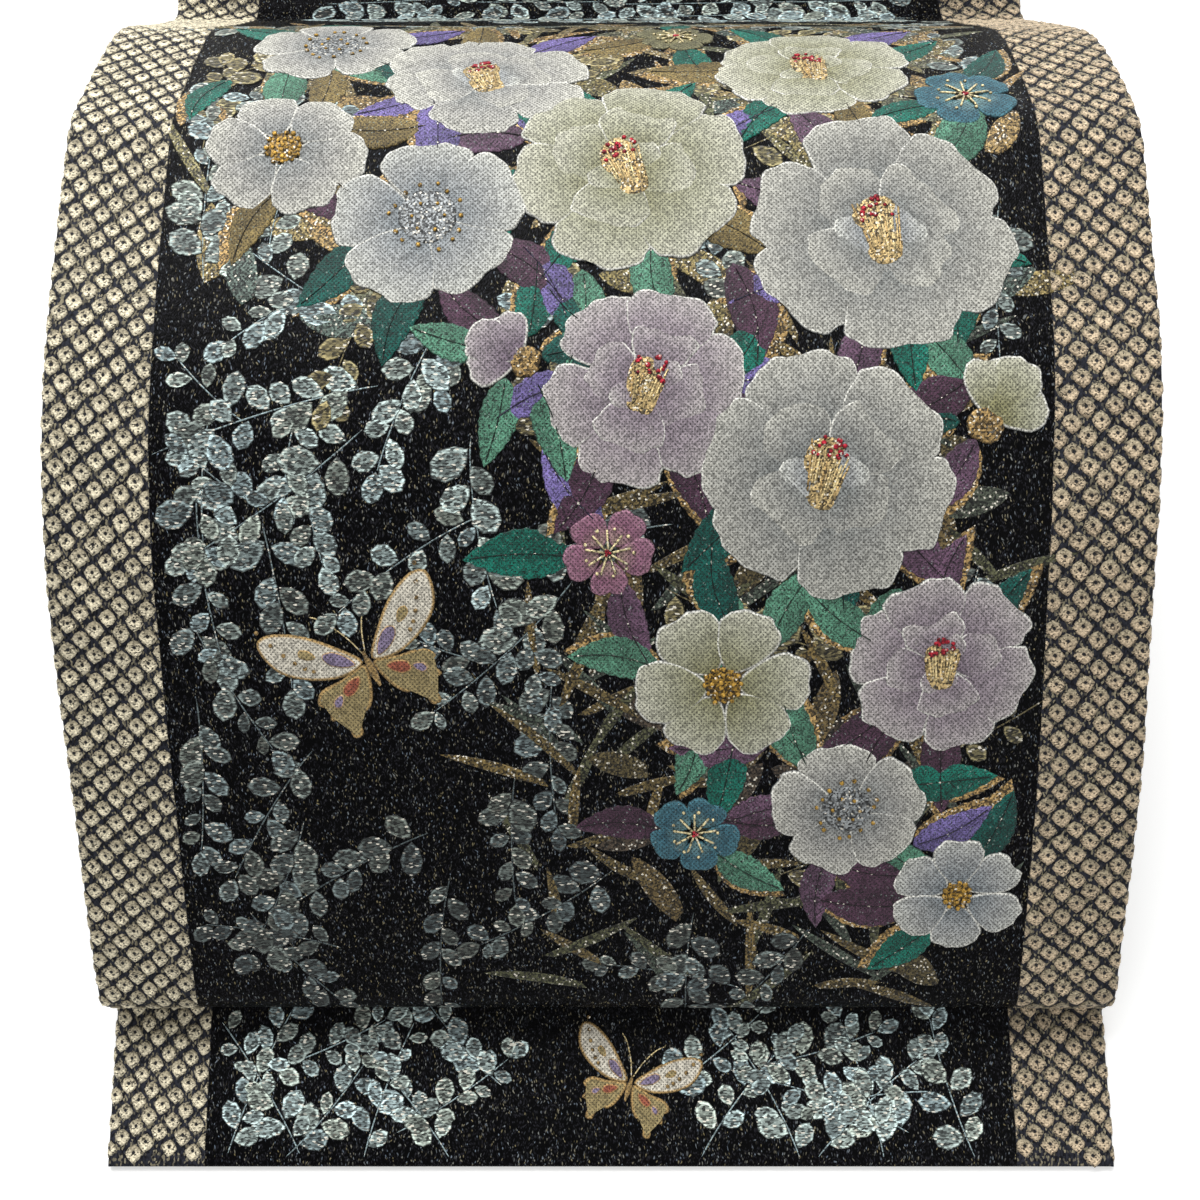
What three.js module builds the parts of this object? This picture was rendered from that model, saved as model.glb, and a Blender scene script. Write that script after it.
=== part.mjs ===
// Obi sash: a formal double-cloth obi, one woven length laid out on a table in its drum shape.
//
// The cloth is one band, 310 mm wide. Its short end (the tare) lies flat, turns back on itself
// inside the drum, rises over the lower fold as an open-sided hump, comes down to the table and
// runs on to the rest of its length, which is folded flat behind the hump.
//
// Frame: millimetres, +Z up, +X across the cloth, +Y from the tare's end towards the folded rest.
// Origin: the middle of the footprint, on the table.
//
// The hump is a section in the YZ plane. It is drawn by walking along the middle of the cloth,
// stretch by stretch, and the cloth's outline across its width is carried along that walk.

import * as THREE from "three";

// ---- Driving dimensions, mm ----
const WIDTH = 310; // woven width, the standard of a formal obi
const LENGTH = 4350; // whole length of the cloth
const THICKNESS = 2.4; // patterned face, lining and the weft floats between them
const SEAM_GAP = 0.3; // air between two pieces that meet
const PITCH = THICKNESS + SEAM_GAP; // height of one layer where the cloth lies on itself
const EDGE_ROUND = 0.8; // rounding of the woven edges

const RUN_LENGTH = 22; // flat cloth between the hump's foot and the folded rest
const FOOT_LENGTH = 15; // concave turn at the foot of the hump's back
const LAYERS = 11; // layers of the folded rest, an odd number so that the face ends on top
const STACK_CORNER = 4; // rounding of the folded rest's corners, seen from above
const SIDE_GROOVE = 1.4; // depth of the groove between two layers at the woven edges
const FACET_TURN = 3; // largest turn of one facet along the cloth, degrees

// ---- The walk along the cloth ----
// length: mm along the middle of the cloth; null where it is worked out from the height to the table
// turn: degrees, positive towards the patterned face; null where it levels the cloth
// drift: how far the middle of the cloth lies to the right at the stretch's end, mm
const STRETCHES = [
  { node: "tare", stretch: "flat end", length: 146, turn: 0, drift: 2.4 },
  { node: "tare", stretch: "inner fold", length: (Math.PI * PITCH) / 2, turn: 180, drift: 2.4 },
  { node: "under_layer", stretch: "return", length: 89, turn: 0, drift: 2.2 },
  { node: "drum", stretch: "lower fold", length: 20.5, turn: -147, drift: 2.2 },
  { node: "drum", stretch: "skirt", length: 64, turn: -3, drift: 1.6 },
  { node: "drum", stretch: "front", length: 68, turn: -5, drift: 0.2 },
  { node: "drum", stretch: "brow", length: 34, turn: -9, drift: 0.2 },
  { node: "drum", stretch: "crown rise", length: 34, turn: -15, drift: 1.0 },
  { node: "drum", stretch: "crown", length: 58, turn: -4, drift: 1.4 },
  { node: "drum", stretch: "shoulder", length: 14, turn: -26, drift: 1.4 },
  { node: "drum", stretch: "back top", length: 40, turn: -5, drift: 1.8 },
  { node: "drum", stretch: "back turn", length: 24, turn: -20, drift: 1.6 },
  { node: "drum", stretch: "back", length: null, turn: 0, drift: 0 },
  { node: "drum", stretch: "foot", length: FOOT_LENGTH, turn: null, drift: -0.4 },
  { node: "run_behind", stretch: "run", length: RUN_LENGTH, turn: 0, drift: -0.5 },
];
const TARE_END_DRIFT = 3.4; // where the walk starts

// Colour, roughness and metalness of each node.
const LOOKS = {
  tare: { color: 0x2a2f33, roughness: 0.55, metalness: 0.25 },
  under_layer: { color: 0x1b1b20, roughness: 0.7, metalness: 0.0 },
  drum: { color: 0x303338, roughness: 0.55, metalness: 0.2 },
  run_behind: { color: 0x2a2f33, roughness: 0.55, metalness: 0.25 },
  folded_rest: { color: 0x26282d, roughness: 0.65, metalness: 0.1 },
};

// Straight length that brings the cloth down to the table once the foot has levelled it.
function lengthToTable(z, heading) {
  const footRadius = FOOT_LENGTH / -heading;
  const footDrop = footRadius * (1 - Math.cos(heading));
  return (z - THICKNESS / 2 - footDrop) / Math.sin(-heading);
}

// Walks the table of stretches and returns each node's stations: x, y and z of the middle of the
// cloth, its heading in the YZ plane and the distance walked.
function walkCloth() {
  const stations = new Map();
  let here = { x: TARE_END_DRIFT, y: 0, z: THICKNESS / 2, heading: 0, walked: 0 };
  for (const row of STRETCHES) {
    const length = row.length ?? lengthToTable(here.z, here.heading);
    const turn = row.turn === null ? -here.heading : THREE.MathUtils.degToRad(row.turn);
    const facets = Math.max(1, Math.ceil(Math.abs(THREE.MathUtils.radToDeg(turn)) / FACET_TURN));
    const stepTurn = turn / facets;
    const stepLength = length / facets;
    const chord = turn ? (stepLength * Math.sin(stepTurn / 2)) / (stepTurn / 2) : stepLength;
    const stepDrift = (row.drift - here.x) / facets;
    if (!stations.has(row.node)) stations.set(row.node, [here]);
    for (let facet = 0; facet < facets; facet++) {
      const along = here.heading + stepTurn / 2;
      here = {
        x: here.x + stepDrift,
        y: here.y + chord * Math.cos(along),
        z: here.z + chord * Math.sin(along),
        heading: here.heading + stepTurn,
        walked: here.walked + stepLength,
      };
      stations.get(row.node).push(here);
    }
  }
  return stations;
}

// The cloth's outline across its width, anticlockwise seen from ahead, so its first number runs
// to the left of the walk, towards -X: a thin band with its woven edges taken off.
function bandOutline() {
  const halfWidth = WIDTH / 2;
  const halfThick = THICKNESS / 2;
  return [
    [-halfWidth + EDGE_ROUND, -halfThick],
    [halfWidth - EDGE_ROUND, -halfThick],
    [halfWidth, -halfThick + EDGE_ROUND],
    [halfWidth, halfThick - EDGE_ROUND],
    [halfWidth - EDGE_ROUND, halfThick],
    [-halfWidth + EDGE_ROUND, halfThick],
    [-halfWidth, halfThick - EDGE_ROUND],
    [-halfWidth, -halfThick + EDGE_ROUND],
  ];
}

// Closed mesh through rings of equally many points, each ring anticlockwise seen from ahead.
function loftRings(rings) {
  const perRing = rings[0].length;
  const points = rings.flat();
  const faces = [];
  for (let ring = 0; ring + 1 < rings.length; ring++) {
    for (let side = 0; side < perRing; side++) {
      const next = (side + 1) % perRing;
      const a = ring * perRing + side;
      const b = ring * perRing + next;
      faces.push(a, b, b + perRing, a, b + perRing, a + perRing);
    }
  }
  const last = (rings.length - 1) * perRing;
  for (let side = 1; side + 1 < perRing; side++) {
    faces.push(0, side + 1, side);
    faces.push(last, last + side, last + side + 1);
  }
  const geometry = new THREE.BufferGeometry();
  geometry.setAttribute("position", new THREE.Float32BufferAttribute(points.flatMap((p) => p.toArray()), 3));
  geometry.setIndex(faces);
  geometry.computeVertexNormals();
  return geometry;
}

// One stretch of cloth, its ends trimmed so that it stands clear of the pieces it meets.
function clothStretch(stations, trimStart, trimEnd) {
  const outline = bandOutline();
  const ends = stations.map((station) => ({ ...station }));
  moveAlong(ends[0], trimStart);
  moveAlong(ends[ends.length - 1], -trimEnd);
  const rings = ends.map(({ x, y, z, heading }) =>
    outline.map(([across, off]) => {
      const rise = off * Math.cos(heading);
      const lean = -off * Math.sin(heading);
      return new THREE.Vector3(x - across, y + lean, z + rise);
    }),
  );
  return loftRings(rings);
}

// Slides a station along the cloth's own heading.
function moveAlong(station, distance) {
  station.y += distance * Math.cos(station.heading);
  station.z += distance * Math.sin(station.heading);
}

// How far a rounded edge that spans low to high has fallen back at height z.
function fallBack(z, low, high) {
  const radius = (high - low) / 2;
  const offCentre = Math.min(Math.abs(z - (low + high) / 2), radius);
  return radius - Math.sqrt(radius * radius - offCentre * offCentre);
}

// Depth of the stack's end at height z. Layers are folded in pairs: the pair that holds this
// layer starts at firstPaired or an even count of layers above it. A layer with no pair is plain.
function endDepth(z, layer, firstPaired) {
  const low = (n) => n * PITCH;
  const top = (n) => n * PITCH + THICKNESS;
  const lower = layer - ((((layer - firstPaired) % 2) + 2) % 2);
  const paired = lower >= 0 && lower + 1 < LAYERS;
  return paired ? fallBack(z, low(lower), top(lower + 1)) : fallBack(z, low(layer), top(layer)) / 2;
}

// The folded rest: its layers share one solid, which shows each layer round its edges.
function foldedStack(front, middle, layerLength) {
  const levels = [0, 0.15, 0.5, 0.85, 1]; // share of the layer's thickness
  const rings = [];
  for (let layer = 0; layer < LAYERS; layer++) {
    const low = layer * PITCH;
    for (const level of levels) {
      const z = low + level * THICKNESS;
      const edge = Math.min(fallBack(z, low, low + THICKNESS), SIDE_GROOVE);
      rings.push(
        roundedRectangle({
          left: middle - WIDTH / 2 + edge,
          right: middle + WIDTH / 2 - edge,
          near: front + endDepth(z, layer, 1),
          far: front + layerLength - endDepth(z, layer, 0),
          z,
        }),
      );
    }
  }
  return loftRings(rings);
}

// Corners of one level of the stack, anticlockwise seen from above.
function roundedRectangle({ left, right, near, far, z }) {
  const cornerSteps = 3;
  const corners = [
    { x: right - STACK_CORNER, y: near + STACK_CORNER, start: -90 },
    { x: right - STACK_CORNER, y: far - STACK_CORNER, start: 0 },
    { x: left + STACK_CORNER, y: far - STACK_CORNER, start: 90 },
    { x: left + STACK_CORNER, y: near + STACK_CORNER, start: 180 },
  ];
  return corners.flatMap(({ x, y, start }) =>
    Array.from({ length: cornerSteps + 1 }, (_, step) => {
      const angle = THREE.MathUtils.degToRad(start + (90 * step) / cornerSteps);
      return new THREE.Vector3(x + STACK_CORNER * Math.cos(angle), y + STACK_CORNER * Math.sin(angle), z);
    }),
  );
}

// Length of one layer of the stack, from the cloth left over and the folds between layers.
function stackLayerLength(walked) {
  const foldLength = (Math.PI * PITCH) / 2;
  return (LENGTH - walked - (LAYERS - 1) * foldLength) / LAYERS + PITCH;
}

function namedMesh(name, geometry) {
  const mesh = new THREE.Mesh(geometry, new THREE.MeshStandardMaterial(LOOKS[name]));
  mesh.name = name;
  return mesh;
}

function buildSash() {
  const sash = new THREE.Group();
  const stations = walkCloth();
  for (const [node, list] of stations) {
    const isTareEnd = node === "tare";
    sash.add(namedMesh(node, clothStretch(list, isTareEnd ? 0 : SEAM_GAP / 2, SEAM_GAP / 2)));
  }
  const runEnd = stations.get("run_behind").at(-1);
  const stackFront = runEnd.y + SEAM_GAP / 2;
  sash.add(namedMesh("folded_rest", foldedStack(stackFront, runEnd.x, stackLayerLength(runEnd.walked))));
  return sash;
}

const sash = buildSash();
const footprint = new THREE.Box3().setFromObject(sash);
const centre = footprint.getCenter(new THREE.Vector3());
sash.position.set(-centre.x, -centre.y, -footprint.min.z);

const obi = new THREE.Group();
obi.add(sash);

export default obi;
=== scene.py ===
"""Obi sash: a formal double-cloth obi laid on a table in its drum shape.

Everything woven is first made flat, in millimetres of cloth: across the width, along the length
and lift above the middle of the cloth. ClothWalk then lays those points along the path that the
cloth takes: flat end, inner fold, drum, back and folded rest.
"""

import logging
import math
import random
from dataclasses import dataclass, field
from enum import Enum
from typing import Any, Callable, Iterable, Sequence

import bmesh
import bpy
import numpy as np
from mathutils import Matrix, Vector
from mathutils.geometry import delaunay_2d_cdt


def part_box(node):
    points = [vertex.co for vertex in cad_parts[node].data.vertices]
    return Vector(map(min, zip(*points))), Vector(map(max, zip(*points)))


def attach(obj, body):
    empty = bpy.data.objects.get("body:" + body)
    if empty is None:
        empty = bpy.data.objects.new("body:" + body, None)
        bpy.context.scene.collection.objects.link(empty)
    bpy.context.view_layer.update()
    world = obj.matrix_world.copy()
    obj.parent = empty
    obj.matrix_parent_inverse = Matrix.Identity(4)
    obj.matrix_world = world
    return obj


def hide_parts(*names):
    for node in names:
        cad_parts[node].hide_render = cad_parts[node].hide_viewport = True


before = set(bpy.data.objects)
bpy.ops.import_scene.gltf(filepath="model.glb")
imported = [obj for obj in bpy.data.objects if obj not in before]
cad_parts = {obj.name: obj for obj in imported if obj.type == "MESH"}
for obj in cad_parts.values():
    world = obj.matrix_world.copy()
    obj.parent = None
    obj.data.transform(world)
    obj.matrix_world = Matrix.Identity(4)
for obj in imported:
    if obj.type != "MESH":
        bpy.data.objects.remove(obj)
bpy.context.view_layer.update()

BODY = "root"
MM = 0.001
SEED = 31

# ---- The cloth, mm ----
WIDTH = 310.0
LENGTH = 4350.0
THICKNESS = 2.4
LAYER_GAP = 0.3
PITCH = THICKNESS + LAYER_GAP
HALF_WIDTH = WIDTH / 2
FACE = THICKNESS / 2  # lift of the patterned face above the middle of the cloth
EDGE = THICKNESS / 2  # radius of the rounded woven edge
BAND = 30.0  # width of the cell band along each edge
PANEL = HALF_WIDTH - BAND  # half the width of the dark panel between the bands
LAYERS = 11
FOLD_LENGTH = math.pi * PITCH / 2

log = logging.getLogger("obi")


# ------------------------------------------------------------------ the walk along the cloth


@dataclass(frozen=True)
class Stretch:
    """One stretch of the walk along the middle of the cloth.

    length is in mm, and None where it is worked out from the height above the table. turn is in
    degrees towards the patterned face, and None where it levels the cloth. drift is how far the
    middle of the cloth lies to the right at the stretch's end, in mm.
    """

    name: str
    length: float | None
    turn: float | None
    drift: float


START_DRIFT = 3.4
FOOT_LENGTH = 15.0
SHAPED = (
    Stretch("flat end", 146.0, 0.0, 2.4),
    Stretch("inner fold", FOLD_LENGTH, 180.0, 2.4),
    Stretch("return", 89.0, 0.0, 2.2),
    Stretch("lower fold", 20.5, -147.0, 2.2),
    Stretch("skirt", 64.0, -3.0, 1.6),
    Stretch("front", 68.0, -5.0, 0.2),
    Stretch("brow", 34.0, -9.0, 0.2),
    Stretch("crown rise", 34.0, -15.0, 1.0),
    Stretch("crown", 58.0, -4.0, 1.4),
    Stretch("shoulder", 14.0, -26.0, 1.4),
    Stretch("back top", 40.0, -5.0, 1.8),
    Stretch("back turn", 24.0, -20.0, 1.6),
    Stretch("back", None, 0.0, 0.0),
    Stretch("foot", FOOT_LENGTH, None, -0.4),
    Stretch("run", 22.0, 0.0, -0.5),
)
# Uneven ends of the folded layers: how much longer each is than the even share, and its drift.
LAYER_EXTRA = (2.8, 0.6, -0.9, 0.8, -0.4, -1.0, 0.9, 0.2, -0.8, 0.4, -2.6)
LAYER_DRIFT = (-0.5, 0.1, -0.9, 0.4, -0.2, 0.7, -0.6, 0.3, -0.4, 0.5, -0.1)


@dataclass(frozen=True)
class Trough:
    """A soft trough or ridge pressed into the cloth, in mm of cloth. depth below 0 is a ridge."""

    across: float
    along: float
    reach_across: float
    reach_along: float
    depth: float
    slant: float = 0.0


class ClothWalk:
    """Lays points given in flat cloth, in mm, on the path the cloth takes, in metres."""

    def __init__(self) -> None:
        """Walks the stretches and keeps where each one starts."""
        low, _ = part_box("tare")
        tare_drift = min(START_DRIFT, SHAPED[0].drift)
        self.origin_x = low.x / MM + HALF_WIDTH - tare_drift
        self.origin_y = low.y / MM
        self.names: list[str] = []
        rows: list[tuple[float, ...]] = []
        y, z, heading, along, drift = 0.0, THICKNESS / 2, 0.0, 0.0, START_DRIFT
        for stretch in self._stretches():
            turn = -heading if stretch.turn is None else math.radians(stretch.turn)
            length = self._length(stretch, z, heading, along)
            rows.append((along, length, turn / length, y, z, heading, drift, stretch.drift))
            self.names.append(stretch.name)
            y, z = self._step(y, z, heading, turn / length, length)
            heading += turn
            along += length
            drift = stretch.drift
        self.rows = np.array(rows)
        self.end = along
        self.troughs = self._troughs()

    def _stretches(self) -> Iterable[Stretch]:
        """The shaped stretches, then the layers and folds of the folded rest."""
        yield from SHAPED
        for layer in range(LAYERS):
            yield Stretch(f"layer {layer}", -1.0 - layer, 0.0, LAYER_DRIFT[layer])
            if layer + 1 < LAYERS:
                turn = 180.0 if layer % 2 == 0 else -180.0
                yield Stretch(f"fold {layer}", FOLD_LENGTH, turn, LAYER_DRIFT[layer])

    def _length(self, stretch: Stretch, z: float, heading: float, along: float) -> float:
        """Length of a stretch, worked out where its row leaves it open.

        Args:
            stretch: the row.
            z: height where it starts.
            heading: direction there, in radians above the table.
            along: cloth used up so far.

        Returns:
            The length in mm.
        """
        if stretch.length is None:
            foot_drop = FOOT_LENGTH / -heading * (1 - math.cos(heading))
            return (z - THICKNESS / 2 - foot_drop) / math.sin(-heading)
        if stretch.length > 0:
            return stretch.length
        if stretch.name == "layer 0":
            self.share = (LENGTH - along - (LAYERS - 1) * FOLD_LENGTH) / LAYERS
        return self.share + LAYER_EXTRA[int(-1 - stretch.length)]

    @staticmethod
    def _step(y: float, z: float, heading: float, curve: float, length: float) -> tuple[float, float]:
        """Where a line or an arc that starts at y, z ends."""
        if abs(curve) < 1e-9:
            return y + length * math.cos(heading), z + length * math.sin(heading)
        after = heading + curve * length
        return (
            y + (math.sin(after) - math.sin(heading)) / curve,
            z + (math.cos(heading) - math.cos(after)) / curve,
        )

    def span(self, name: str) -> tuple[float, float]:
        """Where the named stretch starts and ends, in mm along the cloth."""
        row = self.rows[self.names.index(name)]
        return float(row[0]), float(row[0] + row[1])

    def _troughs(self) -> tuple[Trough, ...]:
        """The creases and slack places of the drum, placed one by one."""
        base = self.span("lower fold")[0] + 9.0
        return (
            Trough(40.0, base + 62.0, 150.0, 9.0, 0.5, 0.02),
            Trough(-95.0, base + 118.0, 60.0, 12.0, 0.6, -0.05),
            Trough(-150.0, base + 128.0, 16.0, 20.0, -0.7),
            Trough(150.0, base + 96.0, 14.0, 26.0, -0.6),
            Trough(104.0, base + 176.0, 52.0, 11.0, 0.45, 0.06),
            Trough(-30.0, base + 214.0, 120.0, 16.0, -0.5, -0.03),
            Trough(-146.0, base + 236.0, 18.0, 30.0, 0.6),
            Trough(148.0, base + 262.0, 16.0, 24.0, 0.6),
            Trough(20.0, base + 330.0, 140.0, 10.0, 0.35, 0.03),
            Trough(-60.0, base + 372.0, 70.0, 14.0, 0.6, 0.05),
            Trough(92.0, base + 384.0, 60.0, 12.0, 0.55, -0.04),
        )

    def sag(self, across: np.ndarray, along: np.ndarray) -> np.ndarray:
        """How far the cloth stands off its section: slack waves on the drum and the troughs."""
        start, end = self.span("skirt")[0], self.span("back")[1]
        ramp = np.clip((along - start) / 25, 0, 1) * np.clip((end - along) / 25, 0, 1)
        edge = (across / HALF_WIDTH) ** 6
        off = 0.22 * np.sin(across / 31 + along / 57) * np.sin(along / 23 - across / 83)
        off = off + edge * 0.45 * np.sin(along / 17.0 + np.sign(across) * 1.3)
        for trough in self.troughs:
            u = (across - trough.across) / trough.reach_across
            v = (along - trough.along - trough.slant * (across - trough.across)) / trough.reach_along
            off = off - trough.depth * np.exp(-(u**2) - v**2)
        return off * ramp

    @staticmethod
    def rolled(across: np.ndarray, lift: np.ndarray) -> tuple[np.ndarray, np.ndarray]:
        """Wraps what runs past the face's side round the cloth's rounded woven edge."""
        past = np.maximum(np.abs(across) - (HALF_WIDTH - EDGE), 0)
        radius = lift - FACE + EDGE
        out = np.sign(across) * (HALF_WIDTH - EDGE + radius * np.sin(past / EDGE))
        wrapped = past > 0
        return np.where(wrapped, out, across), np.where(wrapped, radius * np.cos(past / EDGE), lift)

    def place(self, across: Any, along: Any, lift: Any) -> np.ndarray:
        """Lays points of flat cloth on the walk.

        Args:
            across: mm to the right of the cloth's middle.
            along: mm from the free end.
            lift: mm above the middle of the cloth, on the face's side.

        Returns:
            One row of x, y, z in metres for each point.
        """
        across, along, lift = (np.atleast_1d(np.asarray(v, float)) for v in (across, along, lift))
        across, lift = self.rolled(across, lift)
        at = np.clip(np.searchsorted(self.rows[:, 0], along, side="right") - 1, 0, len(self.rows) - 1)
        start, length, curve, y, z, heading, drift, drift_after = self.rows[at].T
        walked = along - start
        inside = np.clip(walked, 0, length)
        beyond = walked - inside
        here = heading + curve * inside
        bent = np.abs(curve) > 1e-9
        safe = np.where(bent, curve, 1.0)
        y = y + np.where(bent, (np.sin(here) - np.sin(heading)) / safe, inside * np.cos(heading))
        z = z + np.where(bent, (np.cos(heading) - np.cos(here)) / safe, inside * np.sin(heading))
        off = lift + self.sag(across, along)
        x = self.origin_x + across + drift + (drift_after - drift) * inside / length
        y = self.origin_y + y + beyond * np.cos(here) - off * np.sin(here)
        z = z + beyond * np.sin(here) + off * np.cos(here)
        return np.stack([x, y, z], 1) * MM


# ------------------------------------------------------------------ colours and finishes


def linear(code: str) -> tuple[float, float, float, float]:
    """Turns an sRGB hex colour into linear red, green, blue and alpha 1."""
    channels = [int(code[i : i + 2], 16) / 255 for i in (1, 3, 5)]
    red, green, blue = (c / 12.92 if c <= 0.04045 else ((c + 0.055) / 1.055) ** 2.4 for c in channels)
    return red, green, blue, 1.0


def node(tree: bpy.types.NodeTree, kind: str, inputs: dict | None = None, **settings: Any) -> Any:
    """Adds a node with its settings and links.

    Args:
        tree: the node tree.
        kind: the node's type name.
        inputs: socket name or index to a value, or to the socket that feeds it.
        settings: the node's own properties.

    Returns:
        The node.
    """
    made = tree.nodes.new(kind)
    for name, value in settings.items():
        setattr(made, name, value)
    for key, value in (inputs or {}).items():
        if isinstance(value, bpy.types.NodeSocket):
            tree.links.new(value, made.inputs[key])
        else:
            made.inputs[key].default_value = value
    return made


def dyed(code: str) -> tuple[float, float, float]:
    """An sRGB hex colour as linear red, green and blue."""
    return linear(code)[:3]


def maths(tree: bpy.types.NodeTree, operation: str, *values: Any) -> Any:
    """Adds one step of arithmetic on numbers or sockets and returns its socket."""
    return node(tree, "ShaderNodeMath", dict(enumerate(values)), operation=operation).outputs[0]


def ranged(
    tree: bpy.types.NodeTree,
    value: Any,
    start: float = 0.0,
    end: float = 1.0,
    low: float = 0.0,
    high: float = 1.0,
) -> Any:
    """Carries a value's range from start to end over to the range from low to high."""
    limits = {"Value": value, "From Min": start, "From Max": end, "To Min": low, "To Max": high}
    return node(tree, "ShaderNodeMapRange", limits).outputs[0]


def mixed(tree: bpy.types.NodeTree, share: Any, first: Any, second: Any) -> Any:
    """Mixes two colours by a share and returns the mix's socket."""
    return node(tree, "ShaderNodeMix", {0: share, 6: first, 7: second}, data_type="RGBA").outputs[2]


@dataclass(frozen=True)
class Finish:
    """A surface finish: a named material and the numbers it is made from."""

    name: str

    def build(self) -> bpy.types.Material:
        """Makes the material, once.

        Returns:
            The material.
        """
        known = bpy.data.materials.get(self.name)
        if known:
            return known
        material = bpy.data.materials.new(self.name)
        material.use_nodes = True
        tree = material.node_tree
        tree.nodes.clear()
        shader = node(tree, "ShaderNodeBsdfPrincipled")
        node(tree, "ShaderNodeOutputMaterial", {"Surface": shader.outputs["BSDF"]})
        cloth = node(tree, "ShaderNodeAttribute", attribute_name="cloth").outputs["Vector"]
        self.weave(tree, shader, cloth)
        return material

    def weave(self, tree: bpy.types.NodeTree, shader: Any, cloth: Any) -> None:
        """Adds the finish's own nodes; each finish has its own."""

    @staticmethod
    def settle(
        tree: bpy.types.NodeTree,
        shader: Any,
        colour: Any,
        height: Any,
        bump: tuple[float, float],
        constants: dict[str, float],
        invert: bool = False,
    ) -> None:
        """Gives the shader its colour, its bump and its constants.

        Args:
            tree: the node tree.
            shader: the shader.
            colour: the socket of its base colour.
            height: the socket of its relief.
            bump: how deep the relief is, in metres, and how strongly it shows.
            constants: values set directly on the shader's sockets.
            invert: true where a high value is a pit.
        """
        tree.links.new(colour, shader.inputs["Base Color"])
        distance, strength = bump
        relief = {"Height": height, "Distance": distance, "Strength": strength}
        raised = node(tree, "ShaderNodeBump", relief, invert=invert)
        tree.links.new(raised.outputs[0], shader.inputs["Normal"])
        for name, value in constants.items():
            shader.inputs[name].default_value = value

    @staticmethod
    def grains(tree: bpy.types.NodeTree, cloth: Any, across: float, along: float) -> tuple[Any, Any]:
        """Splits the cloth into uneven grains of yarn, each with its own random colour.

        Args:
            tree: the node tree.
            cloth: the vector of flat cloth, mm.
            across: grain size across the cloth, mm.
            along: grain size along it, mm.

        Returns:
            Sockets for the grain's random colour and the distance from its middle.
        """
        scaled = node(
            tree, "ShaderNodeVectorMath", {0: cloth, 1: (1 / across, 1 / along, 0.0)}, operation="MULTIPLY"
        )
        cells = node(
            tree,
            "ShaderNodeTexVoronoi",
            {"Vector": scaled.outputs[0], "Scale": 1.0, "Randomness": 0.85},
            voronoi_dimensions="2D",
        )
        return cells.outputs["Color"], cells.outputs["Distance"]

    @staticmethod
    def lattice(tree: bpy.types.NodeTree, cloth: Any, pitch: float) -> Any:
        """A diagonal lattice of floats and bindings: 0 in the pits, 1 on the floats.

        Args:
            tree: the node tree.
            cloth: the vector of flat cloth, mm.
            pitch: distance between two diagonal rows, mm.

        Returns:
            The socket of the lattice's value.
        """
        wave = 2 * math.pi / pitch * math.sqrt(0.5)
        parts = node(tree, "ShaderNodeSeparateXYZ", {0: cloth})
        sines = []
        for operation in ("ADD", "SUBTRACT"):
            slant = maths(tree, operation, parts.outputs["X"], parts.outputs["Y"])
            sines.append(maths(tree, "SINE", maths(tree, "MULTIPLY", slant, wave)))
        floats = ranged(tree, maths(tree, "ADD", *sines), -1.9, -0.3)
        floats.node.interpolation_type = "SMOOTHSTEP"
        return floats


@dataclass(frozen=True)
class SatinGround(Finish):
    """Silk satin ground, black warp with fine lamella flecks: near-black with a dusting of glints."""

    base: str = "#020203"
    mist: str = "#2e2e34"
    cool: str = "#8494a6"
    warm: str = "#a3966c"
    fleck: float = 0.42  # mm; a real lamella shows 0.25 mm, drawn coarser so that it shows

    def weave(self, tree: bpy.types.NodeTree, shader: Any, cloth: Any) -> None:
        """Wavy upright floats, a few of them bright."""
        drift = node(tree, "ShaderNodeTexNoise", {"Vector": cloth, "Scale": 0.28, "Detail": 2.0})
        sway = {0: drift.outputs["Color"], 1: (3.0, 3.0, 0.0)}
        bend = node(tree, "ShaderNodeVectorMath", sway, operation="MULTIPLY")
        wavy = node(tree, "ShaderNodeVectorMath", {0: cloth, 1: bend.outputs[0]}, operation="ADD")
        colour, distance = self.grains(tree, wavy.outputs[0], self.fleck, self.fleck * 2.4)
        parts = node(tree, "ShaderNodeSeparateColor", {0: colour})
        near = ranged(tree, distance, 0.5, 0.12)
        some = ranged(tree, parts.outputs[0], 0.45)
        dash = maths(tree, "MULTIPLY", near, some)
        ground = mixed(tree, dash, linear(self.base), linear(self.mist))
        tint = mixed(tree, parts.outputs[1], linear(self.cool), linear(self.warm))
        bright = ranged(tree, parts.outputs[2], 0.8, high=0.85)
        glint = maths(tree, "MULTIPLY", bright, near)
        flecked = mixed(tree, glint, ground, tint)
        constants = {"Roughness": 0.5, "Specular IOR Level": 0.06}
        self.settle(tree, shader, flecked, distance, (0.00012, 0.8), constants, invert=True)


@dataclass(frozen=True)
class BandGround(Finish):
    """Navy-black warp-faced ground of the cell bands: matt, with a fine rib between the cells."""

    base: str = "#08090e"
    thread: str = "#2b2d36"
    speck: str = "#8f8770"
    pitch: float = 0.8  # mm; the real warp is 0.3 mm, drawn coarser so that it shows

    def weave(self, tree: bpy.types.NodeTree, shader: Any, cloth: Any) -> None:
        """Dark ground with faint broken threads."""
        colour, distance = self.grains(tree, cloth, self.pitch * 0.6, self.pitch)
        parts = node(tree, "ShaderNodeSeparateColor", {0: colour})
        threads = mixed(tree, parts.outputs[0], linear(self.base), linear(self.thread))
        few = ranged(tree, parts.outputs[1], 0.72)
        speckled = mixed(tree, few, threads, linear(self.speck))
        constants = {"Roughness": 0.7, "Specular IOR Level": 0.15}
        self.settle(tree, shader, speckled, distance, (0.0001, 0.7), constants, invert=True)


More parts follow.
